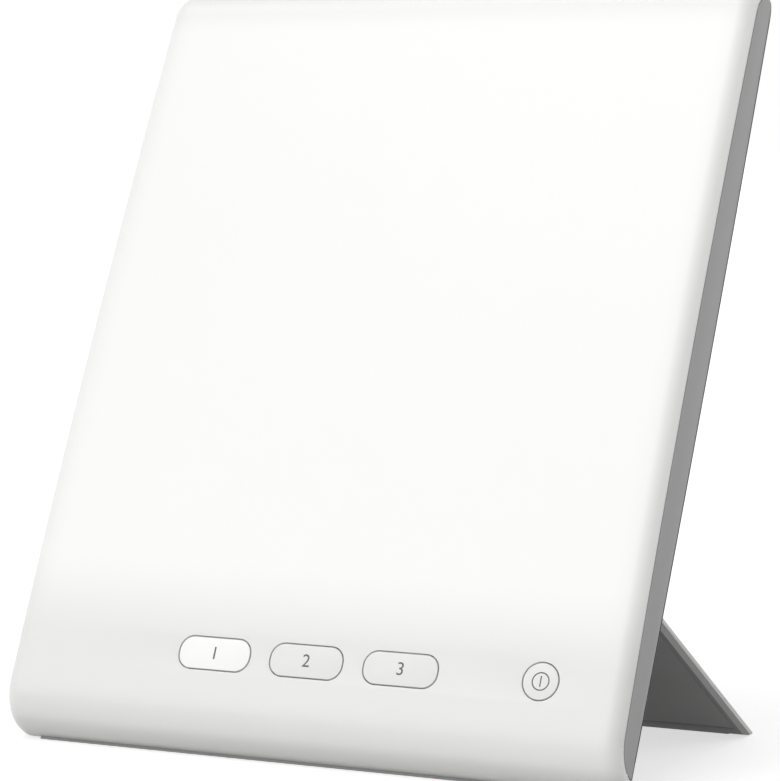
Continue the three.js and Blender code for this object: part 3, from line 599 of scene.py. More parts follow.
@dataclass(frozen=True)
class ClearGuide(Finish):
    """Clear acrylic with the printed dots that let its light out."""

    relief: float = 0.01
    share: float = 0.3
    ior: float = 1.49
    pitch: float = 2.0
    dot: Span = (0.22, 0.28)
    ink_roughness: float = 0.6

    def pattern(self, tree: Tree, shader: Shader) -> None:
        """Adds matt white dots to the clear sheet.

        Args:
            tree: the node tree.
            shader: the principled shader.
        """
        shader.inputs["IOR"].default_value = self.ior
        where = add(tree, "TexCoord").outputs["Object"]
        grid = {"Vector": where, "Scale": 1 / (self.pitch * MM), "Randomness": 0.0}
        far = add(tree, "TexVoronoi", grid).outputs["Distance"]
        rim = {"Value": far, "From Min": self.dot[0], "From Max": self.dot[1]}
        clear = add(tree, "MapRange", rim).outputs[0]
        tree.links.new(clear, shader.inputs["Transmission Weight"])
        ink = {"Value": clear, "To Min": self.ink_roughness, "To Max": self.roughness}
        tree.links.new(add(tree, "MapRange", ink).outputs[0], shader.inputs["Roughness"])
        relief = {"Height": far, "Distance": self.relief * MM, "Strength": self.share}
        tree.links.new(add(tree, "Bump", relief).outputs[0], shader.inputs["Normal"])


@dataclass(frozen=True)
class Winding(Finish):
    """Enamelled copper wire, wound side by side.

    A wave texture turns by 20 radians in a unit, so a band comes out some six wires wide. That
    is as coarse as the winding needs to show on so small a coil.
    """

    relief: float = 0.2
    share: float = 0.8
    fade: float = 0.4
    metallic: float = 0.9
    wire: float = 0.6
    waver: float = 0.5
    unit_turn: float = 20

    def pattern(self, tree: Tree, shader: Shader) -> None:
        """Adds the bands of the winding.

        Args:
            tree: the node tree.
            shader: the principled shader.
        """
        shader.inputs["Metallic"].default_value = self.metallic
        where = add(tree, "TexCoord").outputs["Object"]
        scale = 1 / (self.wire * self.unit_turn * MM)
        wave = {"Vector": where, "Scale": scale, "Distortion": self.waver}
        bands = add(tree, "TexWave", wave).outputs[0]
        self.vary(tree, shader, bands, bands)


# Opal acrylic, polished: a soft deep gloss and an even white.
OPAL_FRONT = Opal("opal_acrylic_lit_front", "#f0f0ee", 0.3, glow=Glow.PANEL)
OPAL_KEY = Opal("opal_acrylic_key", "#efefed", 0.3)
OPAL_LIT_KEY = Opal("opal_acrylic_lit_key", "#f4f4f2", 0.3, glow=Glow.KEY, strength=0.1)
# ABS, moulded in a spark-eroded mould: a fine even grain that takes the shine off.
GREY_HOUSING = Moulded("grey_abs_housing", "#acacac", 0.5, grain=0.7)
# The plate's skin: its own light grey, raised further as a painted highlight along its side edge.
PLATE_SKIN_HIGHLIGHT = Moulded("light_grey_abs_plate_skin", "#dcdcda", 0.4, grain=0.6, relief=0.01)
PLATE_LIP = Moulded("grey_abs_support_plate", "#747473", 0.48, grain=0.7)
PLATE_PANEL = Moulded("dark_abs_panel", "#7f7f7e", 0.55, grain=0.9, relief=0.03)
# Painted shade: a darker copy of the plate's grey, for the tray's faces that look down and those
# inside it.
PLATE_RIM_SHADE = Moulded("dark_abs_tray_rim", "#646464", 0.55, grain=0.9, relief=0.03)
WHITE_FRAME = Moulded("white_abs_frame", "#f4f4f1", 0.5, grain=0.6)
# Nylon, moulded: nearly black, with a soft waxy sheen.
BLACK_PARTS = Moulded("black_nylon_parts", "#202022", 0.5, grain=0.4)
# PET film and PVC, extruded: smooth, with a low even shine.
WHITE_SHEET = Moulded("white_pet_sheet", "#f7f7f5", 0.45, grain=0.3, relief=0.005)
WIRE_SLEEVE = Moulded("pvc_wire_sleeve", "#a83228", 0.45, grain=0.8, relief=0.01)
# The parting line of the housing: matt, and painted dark as the shade in its groove.
PAINTED_SHADE_LINE = Moulded("dark_parting_line", "#3a3a3a", 0.7, grain=0.4)
# Rubber, moulded and matt: hardly any gloss, with a dusty grain.
RUBBER = Moulded("grey_rubber_strip", "#a2a2a1", 0.85, grain=0.8, relief=0.04)
# Opal acrylic on a key's sides and rim, painted grey as the shade where a key goes down into its
# hole.
KEY_SKIRT_SHADE = Moulded("grey_key_skirt", "#c8c9ca", 0.5, grain=0.4, relief=0.01)
# Printed ink: a thin matt grey on the gloss.
INK = Moulded("grey_printed_ink", "#66676a", 0.6, grain=0.3, relief=0.004)
# Steel, zinc plated, stamped or turned: fine lines and a soft blue-grey shine.
ZINC_SHEET = Metal("zinc_plated_sheet_steel", "#b4b8bb", 0.34)
TURNED_STEEL = Metal("turned_zinc_steel", "#a9adb1", 0.3, line=0.2)
# Aluminium sheet, rolled: long faint lines along the roll.
ALUMINIUM = Metal("rolled_aluminium_sheet", "#c8cacc", 0.35, stretch=(40, 1, 1))
# Glass-epoxy board, with a green mask over its tracks.
BOARD = Tiled("green_masked_board", "#1f5a3a", 0.4, second="#2f7a50")
# Light strip: yellow phosphor chips on white.
CHIPS = Tiled("light_chip_strip", "#f2e6b0", 0.35, second="#f5f5f2", pitch=11.8, line=6)
# Acrylic, cast clear and screen printed: white dots in glass.
GUIDE = ClearGuide("printed_clear_acrylic", "#eef6f7", 0.05)
# Copper wire, enamelled and wound: tight shining rings.
COPPER = Winding("enamelled_copper_winding", "#b06a3c", 0.35)


# The lamp's form


def mix(start: float, end: float, share: float) -> float:
    """The value a share of the way from start to end."""
    return start + (end - start) * share


def arc(centre: Vector, width: float, height: float, start: float, end: float, steps: int) -> Ring:
    """Points on an elliptical arc, both ends included."""
    angles = [mix(start, end, step / steps) for step in range(steps + 1)]
    return [centre + Vector((width * math.cos(a), height * math.sin(a))) for a in angles]


@dataclass(frozen=True)
class Section:
    """The lamp's side section, in millimetres, and how far tools are carried past it."""

    half_width: float = 140
    front_depth: float = 19.2
    front_bow: float = 4.2
    rear_bow: float = 2.4
    bow_middle: float = 184
    bottom_start: float = 19.2
    bottom_radius: float = 20
    top_start: float = 333
    top_radius: float = 17.8
    rear_top: float = 337
    seam: float = 5.8
    seam_gap: float = 0.5
    overrun: float = 5
    face_steps: int = 38
    bend_steps: int = 20
    round_steps: int = 10

    def bow(self, u: float, height: float) -> float:
        """How far a bow stands out at a height up the back."""
        share = (u - self.bow_middle) / self.bow_middle
        return height * (1 - share * share)

    def from_back(self, point: Vector) -> float:
        """How far a point lies ahead of the bowed back."""
        return -point.y + self.bow(point.z, self.rear_bow)

    def slope(self, u: float) -> float:
        """The slope of the bowed front at a height up the back."""
        return -2 * self.front_bow * (u - self.bow_middle) / self.bow_middle**2

    def normal(self, u: float) -> Vector:
        """The front's unit normal in u and t."""
        return Vector((-self.slope(u), 1)).normalized()

    def front(self, u: float, inset: float = 0) -> Vector:
        """A point under the bowed front by an inset, in u and t."""
        face = Vector((u, self.front_depth + self.bow(u, self.front_bow)))
        return face - self.normal(u) * inset

    @property
    def bottom_centre(self) -> Vector:
        """The centre of the bottom bend."""
        return self.front(self.bottom_start, self.bottom_radius)

    @property
    def top_centre(self) -> Vector:
        """The centre of the top bend."""
        return self.front(self.top_start, self.top_radius)

    def front_curve(self, inset: float) -> Ring:
        """From the base edge up the front and over the top.

        Args:
            inset: how far the curve is drawn in.

        Returns:
            Points in u and t.
        """
        starts = self.bottom_start, self.top_start
        angles = [math.atan2(n.y, n.x) for n in map(self.normal, starts)]
        face = [
            self.front(mix(*starts, step / self.face_steps), inset)
            for step in range(1, self.face_steps)
        ]
        low, high = self.bottom_radius - inset, self.top_radius - inset
        return [
            *arc(self.bottom_centre, low, low, math.pi, angles[0], self.bend_steps),
            *face,
            *arc(self.top_centre, high, high, angles[1], 0, self.bend_steps),
        ]

    def behind_front(self, inset: float) -> Ring:
        """The section under the front, carried past the back.

        Args:
            inset: how far under the front it starts.

        Returns:
            Points in u and t.
        """
        curve = self.front_curve(inset)
        far = -self.overrun
        return [*curve, Vector((curve[-1].x, far)), Vector((curve[0].x, far))]

    def ahead_of_back(self, inset: float) -> Ring:
        """The section ahead of the housing's back, carried past the front.

        Args:
            inset: how far ahead of the back it starts.

        Returns:
            Points in u and t.
        """
        centre = Vector((self.rear_top, self.top_centre.y))
        top = self.top_centre.x + self.top_radius - self.seam - self.seam_gap / 2
        fall = centre.y + self.bow(self.rear_top, self.rear_bow) - inset
        curve = arc(centre, top - self.rear_top, fall, 0, -QUARTER, self.round_steps)
        for step in range(1, self.face_steps + 1):
            u = mix(self.rear_top, -self.overrun, step / self.face_steps)
            curve.append(Vector((u, inset - self.bow(u, self.rear_bow))))
        far = self.front_depth + self.front_bow + self.overrun
        return [*curve, Vector((-self.overrun, far)), Vector((top, far))]


def across(x: float, outline: Ring) -> Ring:
    """An outline in u and t, put at a place across the lamp."""
    return [Vector((x, -point.y, point.x)) for point in outline]


def bar(outline: Ring, left: float, right: float) -> Piece:
    """The bar of one outline in u and t between two places across."""
    return loft("bar", [across(left, outline), across(right, outline)])


def rounded_sides(half: float, radius: float, inset: float, edge: float) -> list[Span]:
    """Places across with the inset that rounds both side edges there.

    Args:
        half: half the width.
        radius: how far the rounding reaches in from the side.
        inset: the inset away from the sides.
        edge: the inset at the very side.

    Returns:
        Pairs of a place across and an inset.
    """
    steps = SECTION.round_steps
    turns = [QUARTER * step / steps for step in range(steps + 1)]
    right = [
        (half - radius + radius * math.sin(turn), inset + (edge - inset) * (1 - math.cos(turn)))
        for turn in turns
    ]
    return [(-x, depth) for x, depth in reversed(right)] + right


SECTION = Section()
LEAN = math.radians(26.3)
SLOPE = math.radians(31.6)
HINGE_HEIGHT, HINGE_DEPTH = 74.4, 0.5
HINGE = next(joint for joint in frame["joints"] if joint["name"] == "stand_hinge")


def lamp_place() -> Matrix:
    """The lamp's own frame in the row's, found from the hinge of the support plate.

    Returns:
        The matrix from millimetres in the lamp's frame to the row's.
    """
    turned = Matrix.Rotation(-LEAN, 4, "X") @ Matrix.Scale(MM, 4)
    hinge = turned @ Vector((0, -HINGE_DEPTH, HINGE_HEIGHT))
    return Matrix.Translation(Vector(HINGE["pos_m"]) - hinge) @ turned


def plate_place() -> Matrix:
    """The support plate's frame in the row's: y to its foot and z to its upper side."""
    turned = Matrix.Rotation(-SLOPE, 4, "X") @ Matrix.Scale(MM, 4)
    return Matrix.Translation(HINGE["pos_m"]) @ turned


LAMP_PLACE = lamp_place()
PLATE_PLACE = plate_place()


@dataclass(frozen=True)
class KeySpot:
    """A key's place on the front and its outline, where points nearer than merge are one."""

    name: str
    x: float
    half_width: float
    half_height: float
    radius: float
    mark: str = ""
    height: float = 36.6
    merge: float = 1e-4

    def point(self, x: float, up: float, out: float) -> Vector:
        """A point on the key.

        Args:
            x: how far across from its middle.
            up: how far up from its middle.
            out: how far out of the front.

        Returns:
            The point in the lamp's frame.
        """
        normal = SECTION.normal(self.height)
        flat = SECTION.front(self.height) + Vector((normal.y, -normal.x)) * up + normal * out
        return Vector((self.x + x, -flat.y, flat.x))

    def ring(self, margin: float, out: float, steps: int = 12) -> Ring:
        """The key's outline, grown or shrunk.

        Args:
            margin: how far it is grown.
            out: how far out of the front it lies.
            steps: the steps of each rounded corner.

        Returns:
            Points in the lamp's frame.
        """
        radius = self.radius + margin
        corner = Vector((self.half_width + margin - radius, self.half_height + margin - radius))
        points = []
        for quarter, (side, end) in enumerate(((1, -1), (1, 1), (-1, 1), (-1, -1))):
            centre = Vector((corner.x * side, corner.y * end))
            start = QUARTER * (quarter - 1)
            points += arc(centre, radius, radius, start, start + QUARTER, steps)
        kept = [p for i, p in enumerate(points) if (p - points[i - 1]).length > self.merge]
        return [self.point(point.x, point.y, out) for point in kept]

    def rounded(self, margin: float, rim: float, turns: Sequence[float]) -> list[Ring]:
        """Rings that round the rim of the key, or of its hole, up to the front.

        Args:
            margin: how far the outline is grown below the rim.
            rim: the rim's radius, which goes outwards where the outline is grown.
            turns: shares of a quarter turn.

        Returns:
            A ring for each turn.
        """
        rings = []
        for turn in turns:
            angle = turn * QUARTER
            reach = math.copysign(rim * (1 - math.cos(angle)), margin)
            rings.append(self.ring(margin + reach, rim * (math.sin(angle) - 1)))
        return rings


PILL = {"half_width": 16.6, "half_height": 6.95, "radius": 6.2}
POWER = {"half_width": 7.7, "half_height": 7.7, "radius": 7.7}
KEYS = (
    KeySpot("left", -42.5, mark="1", **PILL),
    KeySpot("middle", 0, mark="2", **PILL),
    KeySpot("right", 42.5, mark="3", **PILL),
    KeySpot("power", 103.5, **POWER),
)
LIT_KEY = "left"
POSTS = [Vector((x, u)) for x in (-131.5, 131.5) for u in (30, 98, 240, 318)]
KNUCKLE, BRACKET_HEIGHT, BRACKET_SCREW = 106, 81.7, 4.5
BRACKETS = [
    Vector((side * KNUCKLE + off, BRACKET_HEIGHT))
    for side in (-1, 1)
    for off in (-BRACKET_SCREW, BRACKET_SCREW)
]
INLET_PLACE = Vector((-95, 38))


def along_t(spot: Vector, radius: float, back: float, front: float) -> Piece:
    """A round rod along t at a place in x and u."""
    return rod(Vector((spot.x, -back, spot.y)), Vector((spot.x, -front, spot.y)), radius)


def box_t(xs: Span, ts: Span, us: Span) -> Piece:
    """A block between two values each of x, t and u."""
    return slab(Vector((xs[0], -ts[1], us[0])), Vector((xs[1], -ts[0], us[1])))


# Sub-assemblies


@dataclass
class FrontShell:
    """The opal front: one bent sheet that wraps the sides, the top and the bottom."""

    wall: float = 2.2
    edge_round: float = 7.5
    lip: float = 6
    reach: float = 400
    side: float = 0.3
    side_ease: float = 0.25
    key_gap: float = 0.2
    rim: float = 0.3
    rim_turns: tuple[float, ...] = (0.25, 0.5, 0.75, 1)
    hole: Span = (-8, 3)
    post_radius: float = 3.2
    post_bore: float = 1.6
    post_back: float = 9.4
    bore_end: float = 13.8
    strip_half: float = 128
    strip_top: float = 2.3
    strip_depth: float = 1.1
    strip_gap: float = 0.2
    strip_ease: float = 0.2
    table: float = -0.6

    def under(self, half: float, radius: float, inset: float, edge: float) -> Piece:
        """The solid under the front surface, with rounded sides."""
        sides = rounded_sides(half, radius, inset, edge)
        return loft("front", [across(x, SECTION.front_curve(depth)) for x, depth in sides])

    def key_hole(self, spot: KeySpot) -> Piece:
        """The tool for a key's hole, which flares into a rounded rim.

        Args:
            spot: the key.

        Returns:
            The tool.
        """
        back, front = self.hole
        rings = [spot.ring(self.key_gap, back), spot.ring(self.key_gap, -self.rim)]
        rings += spot.rounded(self.key_gap, self.rim, self.rim_turns)
        rings.append(spot.ring(self.key_gap + self.rim, front))
        return loft("key_hole", rings)

    def strip_bar(self, gap: float) -> Piece:
        """The rubber strip under the base edge, or the groove that holds it.

        Args:
            gap: how much larger the groove is, or nothing for the strip.

        Returns:
            The strip or the tool.
        """
        top, front = self.strip_top + gap, self.strip_depth + gap
        lows = [(self.table - t * math.sin(LEAN)) / math.cos(LEAN) - gap for t in (-gap, front)]
        corners = ((top, -gap), (lows[0], -gap), (lows[1], front), (top, front))
        half = self.strip_half + gap
        return bar([Vector(corner) for corner in corners], -half, half)

    def base_strip(self) -> None:
        """Builds and dresses the rubber strip."""
        strip = self.strip_bar(0)
        ahead = self.strip_depth - NEAR
        ease(strip, lambda a, b: min(-a.y, -b.y) > ahead, self.strip_ease)
        name_smooth(strip, "base_trim")
        settle(strip, LAMP_PLACE, "lamp", "rubber", "base_strip")
        dress(strip, RUBBER.material())

    def build(self) -> None:
        """Builds and dresses the shell and its strip."""
        s = SECTION
        half = s.half_width
        shell = self.under(half, self.edge_round, 0, s.seam)
        room_edge = s.seam + s.seam_gap
        room = self.under(half - self.wall, self.edge_round - self.wall, self.wall, room_edge)
        deep = (s.top_centre.y + self.lip, s.front_depth + s.front_bow)
        work(room, Way.KEEP, box_t((-half, half), deep, (-s.overrun, self.reach)))
        wide = half + s.overrun
        work(shell, Way.CUT, bar(s.behind_front(s.seam - s.seam_gap / 2), -wide, wide))
        work(shell, Way.CUT, room)
        work(shell, Way.CUT, self.strip_bar(self.strip_gap))
        work(shell, Way.CUT, *[self.key_hole(spot) for spot in KEYS])
        ends = [s.front(p.y).y - self.wall / 2 for p in POSTS]
        posts = zip(POSTS, ends, strict=True)
        tools = [along_t(p, self.post_radius, self.post_back, end) for p, end in posts]
        work(shell, Way.FUSE, *tools)
        work(shell, Way.CUT, *[along_t(p, self.post_bore, 0, self.bore_end) for p in POSTS])
        outer = half - self.side
        ease(shell, lambda a, b: min(abs(a.x), abs(b.x)) > outer, self.side_ease)
        name_smooth(shell, "front_shell")
        settle(shell, LAMP_PLACE, "lamp", "opal", "front_cover")
        dress(shell, OPAL_FRONT.material())
        self.base_strip()


@dataclass
class Keys:
    """Flush push keys with their printed marks."""

    gap: float = 0.2
    rim: float = 0.25
    rim_turns: tuple[float, ...] = (0.33, 0.67, 1)
    back: float = 4
    clear: float = 30
    clear_top: float = 80
    flange: float = 1.6
    flange_depth: Span = (16.7, 17.85)
    plunger: float = 1.5
    foot: float = 15.8
    overlap: float = 0.1
    ink: float = 0.04
    text_size: float = 7.6
    merge_share: float = 0.1
    symbol_radius: float = 3.5
    symbol_line: float = 0.27
    symbol_sides: tuple[int, int, int] = (64, 10, 12)
    bar_half: float = 2.2
    skirt: float = 0.98

    def cap(self, spot: KeySpot) -> Piece:
        """One key: a cap with a softened edge, its flange and its plunger.

        Args:
            spot: the key.

        Returns:
            The cap.
        """
        rings = [spot.ring(-self.gap, -self.back), spot.ring(-self.gap, -self.rim)]
        cap = loft(f"cap_{spot.name}", rings + spot.rounded(-self.gap, self.rim, self.rim_turns))
        outline = spot.ring(self.flange, 0)
        ends = [[Vector((p.x, -t, p.z)) for p in outline] for t in self.flange_depth]
        xs = spot.x - self.clear, spot.x + self.clear
        back, front = self.flange_depth
        work(cap, Way.CUT, box_t(xs, (0, back), (0, self.clear_top)))
        work(cap, Way.FUSE, loft("flange", ends))
        middle = Vector((spot.x, spot.height))
        work(cap, Way.FUSE, along_t(middle, self.plunger, self.foot, front - self.overlap))
        return cap

    def lay(self, mark: Piece, spot: KeySpot) -> Piece:
        """Lays a flat mark on a key, its front just proud of the cap.

        Args:
            mark: the mark, lying in the plane of x and y.
            spot: the key.

        Returns:
            The mark.
        """
        mark.name = f"print_{spot.name}"
        tilt = QUARTER + math.atan(SECTION.slope(spot.height))
        turn = Euler((tilt, 0, 0)).to_matrix().to_4x4()
        mark.matrix_world = Matrix.Translation(spot.point(0, 0, 0)) @ turn @ mark.matrix_world
        choose(mark)
        bpy.ops.object.transform_apply()
        return mark

    def numeral(self, spot: KeySpot) -> Piece:
        """A plain numeral as a thin print.

        Args:
            spot: the key.

        Returns:
            The print.
        """
        bpy.ops.object.select_all(action="DESELECT")
        bpy.ops.object.text_add()
        text = bpy.context.object
        text.data.body = spot.mark
        text.data.size = self.text_size
        text.data.extrude = self.ink
        text.data.align_x = "CENTER"
        text.data.align_y = "CENTER"
        bpy.ops.object.convert(target="MESH")
        with editing(text):
            bpy.ops.mesh.select_all(action="SELECT")
            bpy.ops.mesh.remove_doubles(threshold=self.ink * self.merge_share)
            bpy.ops.mesh.normals_make_consistent(inside=False)
        return self.lay(text, spot)

    def symbol(self, spot: KeySpot) -> Piece:
        """The power sign as a thin print: a circle round an upright bar.

        Args:
            spot: the key.

        Returns:
            The print.
        """
        round_sides, line_sides, bar_sides = self.symbol_sides
        line = self.symbol_line
        bpy.ops.object.select_all(action="DESELECT")
        bpy.ops.mesh.primitive_torus_add(
            major_segments=round_sides,
            minor_segments=line_sides,
            major_radius=self.symbol_radius,
            minor_radius=line,
        )
        ring = bpy.context.object
        ends = [Vector((0, end * self.bar_half, 0)) for end in (-1, 1)]
        stroke = rod(*ends, line, bar_sides)
        choose(ring, stroke)
        bpy.ops.object.join()
        ring.scale = (1, 1, self.ink / line)
        bpy.ops.object.transform_apply()
        return self.lay(ring, spot)

    def build(self) -> None:
        """Builds and dresses every key."""
        for spot in KEYS:
            cap = self.cap(spot)
            name_smooth(cap)
            body = f"{spot.name}_key"
            dress(cap, (OPAL_LIT_KEY if spot.name == LIT_KEY else OPAL_KEY).material())
            # Painted shade: the key's sides and rim, which go down into its hole, are painted
            # grey.
            paint(cap, KEY_SKIRT_SHADE.material(), lambda centre, normal: normal.y > -self.skirt)
            settle(cap, LAMP_PLACE, body, "opal", f"key_{spot.name}")
            mark = self.numeral(spot) if spot.mark else self.symbol(spot)
            name_smooth(mark)
            settle(mark, LAMP_PLACE, body, "dark")
            dress(mark, INK.material())


@dataclass
class RearHousing:
    """The grey housing: its side band, bowed back, pocket, screw wells and inlet well."""

    wall: float = 2
    side_wall: float = 2.2
    edge_round: float = 0.5
    open_depth: Span = (8, 24)
    open_height: Span = (14, 338)
    line_start: float = 0.5
    line_width: float = 0.8
    line_depth: float = 0.5
    facing: float = 0.3
    fine: float = 0.02
    past: float = 1
    pocket_half: float = 135.8
    pocket_depth: float = 5.3
    pocket_floor: float = 1.8
    pocket: Span = (71.3, 208.62)
    scoop_half: float = 12
    scoop_reach: float = 9
    well_radius: float = 3
    well_wall: float = 1.2
    well_seat: float = 7.3
    well_end: float = 9.1
    screw_bore: float = 1.7
    bore_reach: float = 20
    inlet_mouth: float = 5.5
    inlet_wall: float = 1.5
    inlet_boss: float = 3.9
    inlet_depth: float = 4.2
    seam_ahead: float = 2
    seam_ease: float = 0.35
    rim_ease: float = 0.4

    def tray(self) -> Piece:
        """The open box of the housing, before its pocket and wells.

        Returns:
            The box.
        """
        s = SECTION
        seam = s.seam + s.seam_gap / 2
        sides = rounded_sides(s.half_width, self.edge_round, 0, self.edge_round)
        ahead = loft("ahead", [across(x, s.ahead_of_back(depth)) for x, depth in sides])
        tray = bar(s.behind_front(seam), -s.half_width, s.half_width)
        work(tray, Way.KEEP, ahead)
        half = s.half_width - self.side_wall
        room = bar(s.behind_front(seam + self.wall), -half, half)
        work(room, Way.KEEP, bar(s.ahead_of_back(self.wall), -half, half))
        work(tray, Way.CUT, room)
        work(tray, Way.CUT, box_t((-half, half), self.open_depth, self.open_height))
        work(tray, Way.CUT, self.edge_line(seam))
        return tray

    def edge_line(self, seam: float) -> Piece:
        """The tool for the fine line that runs round the rear edge.

        Args:
            seam: how far the housing lies under the front.

        Returns:
            The tool.
        """
        s = SECTION
        wide = s.half_width + s.overrun
        wider = wide + s.overrun
        line = bar(s.ahead_of_back(self.line_start), -wide, wide)
        end = self.line_start + self.line_width
        work(line, Way.CUT, bar(s.ahead_of_back(end), -wider, wider))
        core = s.half_width - self.line_depth
        work(line, Way.CUT, bar(s.behind_front(seam + self.line_depth), -core, core))
        return line

    def in_edge_line(self, centre: Vector, normal: Vector) -> bool:
        """Whether a face lies in the fine line round the rear edge.

        Args:
            centre: the face's centre.
            normal: its normal.

        Returns:
            True if it does.
        """
        half = SECTION.half_width
        at_side = abs(centre.x) > half - self.line_depth - NEAR
        inwards = abs(normal.x) < self.facing or abs(centre.x) < half - 2 * NEAR
        end = self.line_start + self.line_width + self.fine
        within = self.line_start - self.fine < SECTION.from_back(centre) < end
        return at_side and inwards and within and centre.z < SECTION.rear_top

    def bosses(self) -> list[Piece]:
        """The tools that are fused to the housing for its screws and its inlet.

        Returns:
            One rod for each.
        """
        outer = self.well_radius + self.well_wall
        bosses = [along_t(p, outer, -self.past, self.well_end) for p in POSTS]
        mouth = self.inlet_mouth + self.inlet_wall
        return [*bosses, along_t(INLET_PLACE, mouth, -self.past, self.inlet_boss)]

    def wells(self) -> list[Piece]:
        """The tools that cut the wells for the screws and the inlet.

        Returns:
            One rod for each.
        """
        far = -SECTION.overrun
        wells = [along_t(p, self.well_radius, far, self.well_seat) for p in POSTS]
        return [*wells, along_t(INLET_PLACE, self.inlet_mouth, far, self.inlet_depth)]

    def build(self) -> None:
        """Builds and dresses the housing."""
        half = SECTION.half_width - self.side_wall + self.wall / 2
        behind = -self.past, self.pocket_depth + self.pocket_floor
        low, high = self.pocket
        housing = self.tray()
        rise = low - self.wall, high + self.wall
        work(housing, Way.FUSE, box_t((-half, half), behind, rise))
        wide = self.scoop_half + self.wall
        scoop_top = high + self.scoop_reach
        work(housing, Way.FUSE, box_t((-wide, wide), behind, (high, scoop_top + self.wall)))
        work(housing, Way.FUSE, *self.bosses())
        depth = -SECTION.overrun, self.pocket_depth
        work(housing, Way.CUT, box_t((-self.pocket_half, self.pocket_half), depth, (low, high)))
        scoop = high - self.scoop_reach, scoop_top
        work(housing, Way.CUT, box_t((-self.scoop_half, self.scoop_half), depth, scoop))
        work(housing, Way.CUT, *self.wells())
        bores = [along_t(p, self.screw_bore, 0, self.bore_reach) for p in POSTS]
        work(housing, Way.CUT, *bores)
        self.ease_edges(housing)
        name_smooth(housing, "housing")
        dress(housing, GREY_HOUSING.material())
        # Painted shade: the faces in the groove round the rear edge are painted dark.
        paint(housing, PAINTED_SHADE_LINE.material(), self.in_edge_line)
        settle(housing, LAMP_PLACE, "lamp", "grey", "rear_housing")

    def ease_edges(self, housing: Piece) -> None:
        """Rounds the band's seam edge, the pocket's rim and the wells' rims.

        Args:
            housing: the housing.
        """

        def at_seam(a: Vector, b: Vector) -> bool:
            """Whether an edge runs along the side band's front."""
            outer = min(abs(a.x), abs(b.x)) > SECTION.half_width - NEAR
            return outer and min(-a.y, -b.y) > self.seam_ahead

        def on_back(a: Vector, b: Vector) -> bool:
            """Whether an edge lies on the bowed back, away from its sides."""
            flat = all(abs(SECTION.from_back(point)) < NEAR for point in (a, b))
            return flat and abs(a.x) < SECTION.half_width - self.wall

        ease(housing, at_seam, self.seam_ease)
        ease(housing, on_back, self.rim_ease)


